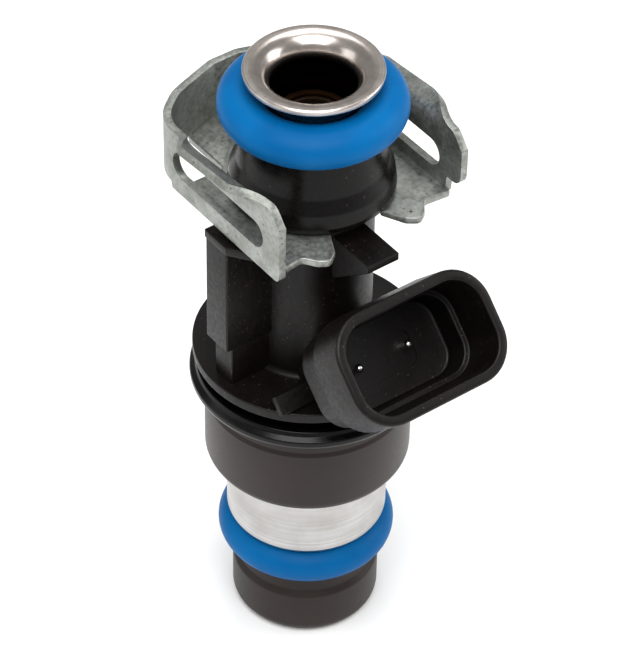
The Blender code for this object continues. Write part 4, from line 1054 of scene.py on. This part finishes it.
    def wing(self) -> Shell:
        """Bar across the foot of the connector, just above the disc.

        Returns:
            The closed surface of the bar.
        """
        tilt = math.radians(self.connector_tilt)
        depth = (self.connector_reach - self.wing_reach) / math.cos(tilt)
        height = self.disc_top + self.connector_rise - depth * math.sin(tilt)
        drop = (height - self.disc_top) / math.cos(tilt) - self.wing_height / 2.0
        matrix = (self.connector_matrix(depth + self.wing_thickness / 2.0)
                  @ Matrix.Translation((0.0, -drop, 0.0)))
        return prism(rectangle(self.wing_span, self.wing_height, 0.12, 4), self.wing_thickness,
                     0.08).placed(matrix)

    def lug(self) -> Shell:
        """Flat lug under the clip's front, on a wedge-shaped gusset.

        Returns:
            The closed surface of the lug.
        """
        top = self.body_top - 0.4
        lower = top - self.lug_thickness
        foot = lower - self.gusset_height
        profile = rounded([(self.lug_root, foot, 0.0), (self.body_radius, foot, 0.0),
                           (self.lug_reach, lower, 0.1), (self.lug_reach, top, 0.1),
                           (self.lug_root, top, 0.0)])
        side = (Matrix.Translation((0.0, self.lug_width / 2.0, 0.0))
                @ Matrix.Rotation(math.radians(90.0), 4, "X"))
        return prism(profile, self.lug_width, 0.07).placed(side)

    def upright_prism(self, outline: Sequence[tuple[float, float, float]], low: float, high: float) -> Shell:
        """Rounded outline in plan, standing between two heights."""
        return prism(rounded(outline), high - low, 0.1).placed(Matrix.Translation((0.0, 0.0, low)))

    def stops(self) -> dict[str, Shell]:
        """Ledge under the clip's left wall, the block below it and the rib down to the disc.

        Returns:
            The three closed surfaces by their pieces' names.
        """
        block_low, root = self.body_top - self.block_height, self.stop_root
        return {
            "clip_ledge": self.upright_prism([
                (-1.4, root, 0.0), (-1.4, -self.ledge_side, 0.15), (1.4, -self.ledge_side, 0.15),
                (self.ledge_front, -7.7, 0.15), (self.ledge_front, root, 0.0)],
                self.body_top - 0.8, self.body_top - 0.05),
            "latch_block": self.upright_prism([
                (-1.35, root, 0.0), (-1.35, -self.block_side, 0.15), (1.35, -self.block_side, 0.15),
                (1.35, root, 0.0)], block_low, self.body_top - 0.4),
            "side_rib": self.upright_prism([
                (-1.1, root, 0.0), (-1.1, -self.rib_side, 0.12), (1.1, -self.rib_side, 0.12),
                (1.1, root, 0.0)], self.disc_top - 0.45, block_low + 0.5),
        }

    def build(self) -> None:
        """Places the core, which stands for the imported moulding, and what is moulded on it."""
        self.place("moulded_core", self.core(), Finishes.NYLON, replaced=["overmold_body"])
        parts = {"moulded_neck": self.neck(), "moulded_collar": self.collar(),
                 "connector_shell": self.connector(), "connector_root": self.root(),
                 "connector_wing": self.wing(), "front_lug": self.lug(), **self.stops()}
        for name, shell in parts.items():
            finish = Finishes.SMOOTH_NYLON if name == "moulded_collar" else Finishes.NYLON
            self.place(name, shell, finish, slot=Finishes.NYLON.name)


@dataclass
class Contacts(Assembly):
    """Two round contact pins, with round noses in the socket."""

    moulding: Moulding = field(default_factory=Moulding)
    radius: float = 0.36
    spacing: float = 4.7
    offset: float = 0.2
    depth: float = 6.1
    leg_reach: float = 5.0
    bend: float = 1.2

    def pin(self, side: Side) -> Shell:
        """Centre line straight down the socket, a quarter bend, and straight down to the coil.

        Args:
            side: which of the two pins.

        Returns:
            The closed surface of the pin.
        """
        matrix = np.array(self.moulding.connector_matrix(0.0))
        y = side.value * self.spacing / 2.0
        nose = matrix[:3, :3] @ np.array([y, self.offset, -self.depth]) + matrix[:3, 3]
        axis = matrix[:3, 2]
        elbow = nose - axis * ((nose[0] - self.leg_reach) / axis[0])
        foot = np.array([elbow[0], elbow[1], span("terminal_pin_left")[0][2]])
        sweep = np.linspace(0.0, 1.0, 9)[:, None]
        corner = ((1 - sweep) ** 2 * (elbow + axis * self.bend) + 2 * sweep * (1 - sweep) * elbow
                  + sweep ** 2 * (elbow - np.array([0.0, 0.0, self.bend])))
        cap = np.linspace(0.0, math.pi / 2.0, 8)
        tip = nose[None, :] - axis[None, :] * (self.radius * (1.0 - np.cos(cap)))[:, None]
        path = np.vstack([tip, corner, foot[None, :]])
        radius = np.concatenate([np.maximum(self.radius * np.sin(cap), 0.004),
                                 np.full(len(corner) + 1, self.radius)])
        return rod(path, radius, np.array([0.0, 1.0, 0.0]))

    def build(self) -> None:
        """Places both pins."""
        for side, node in ((Side.LEFT, "terminal_pin_left"), (Side.RIGHT, "terminal_pin_right")):
            self.place(f"contact_pin_{side.name.lower()}", self.pin(side), Finishes.TIN, replaced=[node])


@dataclass
class Inlet(Assembly):
    """Inlet tube with its flared rim, and the filter inside it."""

    bore: float = 3.3
    radius: float = 3.47
    waist_radius: float = 1.55
    waist_bore: float = 1.15
    rim_radius: float = 5.32
    rim_flat: float = 0.42
    rim_thickness: float = 0.5
    cone: float = 0.7
    collar_height: float = 5.7
    step_rise: float = 0.95

    def tube(self) -> Shell:
        """Turned tube: a narrow waist, the cone, the straight tube and a rim that rolls into the bore.

        Returns:
            The closed surface of the tube.
        """
        low, high = span("inlet_tube")
        top = high[2]
        step = span("overmold_body")[1][2] - self.collar_height + self.step_rise
        flare = self.rim_radius - self.rim_flat - self.bore
        return lathe(rounded([
            (self.waist_bore, low[2], 0.0), (self.waist_radius, low[2], 0.0), (self.waist_radius, step, 0.0),
            (self.radius, step + 0.2, 0.2), (self.radius, top - 1.75, 0.3),
            (self.rim_radius - 0.9, top - self.rim_thickness - 0.25, 0.4),
            (self.rim_radius - 0.03, top - self.rim_thickness, 0.16), (self.rim_radius, top - 0.1, 0.08),
            (self.rim_radius - 0.12, top, 0.08), (self.bore, top, flare),
            (self.bore, step + 2.0 * self.cone, 0.3), (self.waist_bore, step + self.cone, 0.0)], 7.0), 192)

    def build(self) -> None:
        """Places the tube and dresses the filter."""
        self.place("flared_inlet_tube", self.tube(), Finishes.INLET_STEEL, replaced=["inlet_tube"],
                   slot="stainless_steel")
        self.dress("inlet_filter_frame", Finishes.STAINED_BRASS)
        self.dress("inlet_filter_screen", Finishes.SCREEN)


@dataclass
class RetainingClip(Assembly):
    """Zinc-plated clip: a bent wall with two windows and turned-out lips, on a slotted plate."""

    sheet: float = 0.62
    half_width: float = 8.5
    front: dict[Side, float] = field(default_factory=lambda: {Side.LEFT: 7.4, Side.RIGHT: 8.0})
    back: float = 11.7
    corner: float = 7.9
    shoulder_back: float = 10.2
    shoulder_width: float = 5.6
    corner_bend: float = 3.6
    shoulder_bend: float = 3.0
    wall_height: float = 5.6
    front_rise: float = 0.9
    front_drop: float = 1.5
    notch: float = 1.8
    rear_notch: float = 0.7
    plate_front: float = 6.3
    tongue_half: float = 4.3
    window_back: float = -6.1
    window_front: float = 5.4
    window_low: float = 1.75
    window_height: float = 2.4
    lip_length: float = 2.3
    lip_angle: float = 60.0
    lip_back: float = -5.5
    lip_front: float = 4.5
    lip_run: float = 2.2
    slot_half: float = 3.6
    mouth_half: float = 2.35
    edge: float = 0.14
    left_toe: float = 0.5
    right_toe: float = 0.9

    def __post_init__(self) -> None:
        """Reads the clip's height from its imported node."""
        self.bottom = float(span("retaining_clip")[0][2])

    def plan(self) -> np.ndarray:
        """Middle line of the wall in plan, from the left front round the back to the right front.

        Returns:
            The line's points.
        """
        side = self.half_width - self.sheet / 2.0
        back, shoulder = self.back - self.sheet / 2.0, self.shoulder_back - self.sheet / 2.0
        half = [(-self.corner, side, self.corner_bend),
                (-shoulder, self.shoulder_width, self.shoulder_bend),
                (-shoulder - 0.48, self.tongue_half, 0.5), (-back, 1.2, 1.4)]
        ends = [(self.front[Side.LEFT], -side, 0.0), (self.front[Side.RIGHT], side, 0.0)]
        corners = [ends[0], *[(x, -y, r) for x, y, r in half], *half[::-1], ends[1]]
        return rounded(corners, 6.0)

    def side_columns(self, front: float) -> np.ndarray:
        """x of the wall's columns on one side, close together at the window's round ends and the notches.

        A window's end is a half circle of radius r, so its columns stand r (1 - cos a) from its tip.

        Args:
            front: x where the wall ends on this side.

        Returns:
            x of the columns, from the front to the back.
        """
        radius = self.window_height / 2.0
        quarter = radius * (1.0 - np.cos(np.linspace(0.0, math.pi / 2.0, 11)))
        steps = np.linspace(self.plate_front - 0.12, self.plate_front + 0.12, 5)
        rear = np.linspace(-self.plate_front - 0.12, -self.plate_front + 0.12, 5)
        straight = np.linspace(self.window_back + radius, self.window_front - radius, 28)
        ahead = np.linspace(self.plate_front + 0.12, front, 18)
        behind = np.linspace(-self.plate_front - 0.12, -self.corner + 0.6, 6)
        middle = np.linspace(self.window_front, self.plate_front - 0.12, 6)
        columns = np.concatenate([ahead, steps, middle, self.window_front - quarter, straight,
                                  self.window_back + quarter, rear, behind])
        return np.unique(np.round(columns, 4))[::-1]

    def wall(self) -> Shell:
        """Middle surface of the wall.

        A column stands at each place along the plan. The lower edge's front corner is an arc. Below the
        window the points run evenly from the lower edge to the window, and above it from the window to
        the bend and on to the top. Past the bend the column turns outwards: its heading grows to the
        lip's angle over the first half, and the point is the running sum of the heading's sine and
        cosine. The window's half height at x is sqrt(r^2 - d^2), where d is how far x lies into its
        round end.

        Returns:
            The open middle surface, which gets its thickness from a modifier.
        """
        plan = self.plan()
        run = np.concatenate([[0.0], np.cumsum(np.linalg.norm(np.diff(plan, axis=0), axis=1))])
        left = self.front[Side.LEFT] - self.side_columns(self.front[Side.LEFT])
        right = run[-1] - (self.front[Side.RIGHT] - self.side_columns(self.front[Side.RIGHT]))[::-1]
        middle = np.linspace(left[-1], right[0], 110)[1:-1]
        place = np.concatenate([left, middle, right])
        x, y = np.interp(place, run, plan[:, 0]), np.interp(place, run, plan[:, 1])
        on_side = (np.abs(y) > self.half_width - self.sheet) & (x > -self.corner + 0.5)

        floor = self.bottom + 0.15
        notched = smooth_step(x, self.plate_front - 0.1, self.plate_front + 0.1) * (y > 0.0)
        low = floor + (self.notch - 0.15) * notched
        at_rear = smooth_step(-x, self.plate_front - 0.1, self.plate_front + 0.1)
        low = low + (self.rear_notch - 0.15) * at_rear * smooth_step(np.abs(y), self.tongue_half - 0.1,
                                                                    self.tongue_half + 0.1)
        rise = self.front_rise * smooth_step(x, -self.corner, 7.8)
        ends = np.where(y < 0.0, self.front[Side.LEFT], self.front[Side.RIGHT])
        toe = np.where(y < 0.0, self.left_toe, self.right_toe)
        past = np.clip(x - ends + toe, 0.0, toe)
        low = low + (toe - np.sqrt(toe ** 2 - past ** 2)) * on_side
        top = self.bottom + self.wall_height + rise
        top = top - self.front_drop * smooth_step(x - ends, -1.4, 0.35) * on_side

        radius = self.window_height / 2.0
        centre = self.bottom + self.window_low + radius
        outside = np.maximum(np.maximum(self.window_back + radius - x, x - self.window_front + radius), 0.0)
        half = np.sqrt(np.maximum(radius ** 2 - outside ** 2, 0.0)) * on_side

        out = np.sign(y) * on_side
        flare = smooth_step(x, self.lip_back, self.lip_back + self.lip_run) * on_side
        flare = flare * (1.0 - smooth_step(x, self.lip_front - self.lip_run, self.lip_front + self.lip_run))
        bend = top - self.lip_length / 2.0

        lower = np.linspace(0.0, 1.0, 7)[None, :]
        below = low[:, None] + lower * (centre - half - low)[:, None]
        under = np.linspace(0.0, 1.0, 6)[None, :]
        above = (centre + half)[:, None] + under * (bend - centre - half)[:, None]

        rows = 12
        share = (np.arange(rows) + 0.5) / rows
        heading = np.radians(self.lip_angle) * flare[:, None] * np.minimum(share / 0.5, 1.0)[None, :]
        pace = ((top - bend) + flare * self.lip_length / 2.0)[:, None] / rows
        shift = np.cumsum(np.sin(heading) * pace, axis=1)
        climb = bend[:, None] + np.cumsum(np.cos(heading) * pace, axis=1)

        upper_height = np.hstack([above, climb])
        upper_shift = np.hstack([np.zeros_like(above), shift])
        lower_points = np.stack([x[:, None] + 0.0 * below, y[:, None] + 0.0 * below, below], axis=2)
        upper_points = np.stack([x[:, None] + 0.0 * upper_height, y[:, None] + out[:, None] * upper_shift,
                                 upper_height], axis=2)
        shells = [Shell(points.reshape(-1, 3), [quads(len(x), points.shape[1])])
                  for points in (lower_points, upper_points)]
        return shells[0] + shells[1]

    def plate(self) -> Shell:
        """Plate with a keyhole slot open to the front, two tabs beside its mouth and a rear tongue.

        Returns:
            The closed surface of the plate.
        """
        edge = self.half_width - self.sheet / 2.0 - 0.05
        rear = self.shoulder_back - self.sheet / 2.0
        angle = np.linspace(math.pi, math.pi / 2.0, 24)
        slot = self.slot_half * np.stack([np.cos(angle), np.sin(angle)], axis=1)
        corners = [(3.0, self.slot_half, 1.2), (5.5, self.mouth_half, 0.3), (7.35, 3.3, 0.5),
                   (8.0, 4.2, 0.5), (7.5, 5.0, 0.6), (6.5, 5.7, 0.6), (6.75, edge, 0.3)]
        behind = [(-5.5, edge, 0.3), (-5.5, self.tongue_half, 0.3), (-rear - 0.3, self.tongue_half, 0.3),
                  (-self.back + self.sheet / 2.0, 1.0, 0.5)]
        both = [(0.0, self.slot_half, 0.0), *corners, *behind]
        outer = [*both[1:], *[(x, -y, r) for x, y, r in both[:0:-1]]]
        ring = rounded([(0.0, self.slot_half, 0.0), *outer, (0.0, -self.slot_half, 0.0)], 12.0)
        left_slot = np.stack([slot[1:, 0], -slot[1:, 1]], axis=1)
        outline = np.vstack([slot[:-1], ring, left_slot[::-1][1:]])
        area = np.sum(outline[:, 0] * np.roll(outline[:, 1], -1) - outline[:, 1] * np.roll(outline[:, 0], -1))
        outline = outline if area > 0.0 else outline[::-1]
        return prism(outline, self.sheet, self.edge).placed(Matrix.Translation((0.0, 0.0, self.bottom)))

    def stake_mark(self) -> Shell:
        """Small raised crescent left by the press on the right tab: a ring's arc with tapered ends.

        Returns:
            The closed surface of the mark.
        """
        angle = np.linspace(-0.6, 3.6, 24)
        path = np.stack([6.95 + 0.22 * np.cos(angle), 3.9 + 0.22 * np.sin(angle),
                         np.full(24, self.bottom + self.sheet)], axis=1)
        radius = 0.075 * np.sqrt(np.sin(np.linspace(0.02, math.pi - 0.02, 24)))
        return rod(path, radius, np.array([0.0, 0.0, 1.0]), 12)

    def build(self) -> None:
        """Places the wall, thickened to the sheet with soft edges, the plate and the press mark."""
        wall = self.place("clip_wall", self.wall(), Finishes.ZINC, Body.CLIP, ["retaining_clip"], sharp=60.0)
        thick = wall.modifiers.new("sheet thickness", "SOLIDIFY")
        thick.thickness = self.sheet * MM
        thick.offset = 0.0
        thick.use_even_offset = True
        soft = wall.modifiers.new("soft edges", "BEVEL")
        soft.width = self.edge * MM
        soft.segments = 3
        soft.limit_method = "ANGLE"
        soft.angle_limit = math.radians(50.0)
        self.place("clip_plate", self.plate(), Finishes.ZINC, Body.CLIP)
        self.place("clip_press_mark", self.stake_mark(), Finishes.ZINC, Body.CLIP)


@dataclass
class MovingValve(Assembly):
    """Ball, needle and armature, which lift together."""

    def ball(self) -> Shell:
        """A half circle turned round the axis.

        Returns:
            The closed surface of the ball.
        """
        low, high = span("valve_ball")
        radius = (high[2] - low[2]) / 2.0
        angle = np.linspace(-math.pi / 2.0, math.pi / 2.0, 40)
        profile = np.stack([radius * np.cos(angle), low[2] + radius * (1.0 + np.sin(angle))], axis=1)
        profile[[0, -1], 0] = 0.0
        return lathe(profile, 64, closed=False)

    def build(self) -> None:
        """Places a round ball and dresses the rest."""
        self.place("ground_valve_ball", self.ball(), Finishes.BALL, Body.VALVE, ["valve_ball"])
        self.dress("valve_needle", Finishes.STAINLESS)
        self.dress("armature", Finishes.MAGNETIC)


@dataclass
class Inside(Assembly):
    """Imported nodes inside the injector, whose shapes stay."""

    def build(self) -> None:
        """Dresses the seat stack, the spring, the magnet's core and the coil."""
        finishes = {
            "seat_retainer_ring": Finishes.STAINLESS, "director_plate": Finishes.STAINLESS,
            "valve_seat": Finishes.STAINLESS, "seat_seal": Finishes.GREEN_RUBBER,
            "guide_ring": Finishes.STAINLESS, "return_spring": Finishes.SPRING,
            "pole_piece": Finishes.MAGNETIC, "nonmagnetic_sleeve": Finishes.STAINLESS,
            "adjusting_tube": Finishes.BRASS, "coil_bobbin": Finishes.BOBBIN,
            "coil_winding": Finishes.COPPER, "bobbin_seal_lower": Finishes.GREEN_RUBBER,
            "bobbin_seal_upper": Finishes.GREEN_RUBBER, "flux_washer": Finishes.MAGNETIC}
        for node, finish in finishes.items():
            self.dress(node, finish)


# ---------------------------------------------------------------------------------------------
# Studio


@dataclass
class Softbox:
    """One square area light that faces a point."""

    name: str
    place: tuple[float, float, float]
    size: float
    power: float

    def build(self, target: Vector) -> None:
        """Adds the light.

        Args:
            target: the point that the light faces.
        """
        light = bpy.data.lights.new(self.name, "AREA")
        light.size = self.size
        light.energy = self.power
        obj = bpy.data.objects.new(self.name, light)
        obj.location = self.place
        obj.rotation_euler = (target - obj.location).to_track_quat("-Z", "Y").to_euler()
        bpy.context.scene.collection.objects.link(obj)


@dataclass
class Studio:
    """Pale floor, soft light and the camera."""

    floor_color: str = "#F7F7F6"
    world_color: str = "#FFFFFF"
    world_strength: float = 0.4
    camera_place: tuple[float, float, float] = (0.1532, -0.1165, 0.2023)
    camera_forward: tuple[float, float, float] = (-0.5894, 0.4523, -0.6694)
    camera_roll: float = 1.211
    lens: float = 181.93
    floor_size: float = 3.0

    def build_floor(self) -> None:
        """Flat floor under the tip, with faint clouds of tone."""
        half = self.floor_size / 2.0
        mesh = bpy.data.meshes.new("floor")
        mesh.from_pydata([(-half, -half, 0.0), (half, -half, 0.0), (half, half, 0.0), (-half, half, 0.0)],
                         [], [(0, 1, 2, 3)])
        floor = bpy.data.objects.new("floor", mesh)
        floor.location.z = -0.00002
        bpy.context.scene.collection.objects.link(floor)
        finish = Moulded("studio_floor", self.floor_color, "#FAFAFA", 0.9, 0.02, cloud=200.0, grain=2.0,
                         depth=0.001, ior=1.2)
        mesh.materials.append(finish.material())

    def build_lights(self) -> None:
        """World light, a large box above, two at the sides and one that lights the rim's far side."""
        world = bpy.context.scene.world or bpy.data.worlds.new("studio")
        bpy.context.scene.world = world
        world.use_nodes = True
        back = world.node_tree.nodes["Background"]
        back.inputs["Color"].default_value = linear(self.world_color)
        back.inputs["Strength"].default_value = self.world_strength
        target = Vector((0.0, 0.0, 0.03))
        for box in (
            Softbox("key_softbox", (0.18, -0.14, 0.5), 0.4, 3.0),
            Softbox("left_softbox", (-0.25, -0.45, 0.25), 0.3, 0.45),
            Softbox("right_softbox", (0.25, 0.45, 0.25), 0.3, 1.1),
            Softbox("rim_softbox", (-0.12, 0.1, 0.4), 0.2, 0.5),
        ):
            box.build(target)

    def build_camera(self) -> None:
        """Camera that looks down at the connector side, turned a little about its own axis."""
        forward = Vector(self.camera_forward).normalized()
        right = forward.cross(Vector((0.0, 0.0, 1.0))).normalized()
        up = right.cross(forward)
        roll = math.radians(self.camera_roll)
        level = math.cos(roll) * right + math.sin(roll) * up
        upright = math.cos(roll) * up - math.sin(roll) * right
        data = bpy.data.cameras.new("camera")
        data.lens = self.lens
        data.clip_start = 0.01
        camera = bpy.data.objects.new("camera", data)
        turn = Matrix([level, upright, -forward]).transposed().to_4x4()
        camera.matrix_world = Matrix.Translation(self.camera_place) @ turn
        bpy.context.scene.collection.objects.link(camera)
        bpy.context.scene.camera = camera

    def build(self) -> None:
        """Builds the studio, with colours shown as they are."""
        bpy.context.scene.view_settings.view_transform = "Standard"
        self.build_floor()
        self.build_lights()
        self.build_camera()


def main() -> None:
    """Builds the studio and every sub-assembly in order."""
    logging.basicConfig(level=logging.INFO, format="%(name)s: %(message)s")
    Studio().build()
    moulding = Moulding()
    for assembly in (Tip(), ORing("lower_o_ring"), Housing(), moulding, Contacts(moulding), Inlet(),
                     ORing("upper_o_ring"), RetainingClip(), MovingValve(), Inside()):
        assembly.build()


if __name__ == "__main__":
    main()
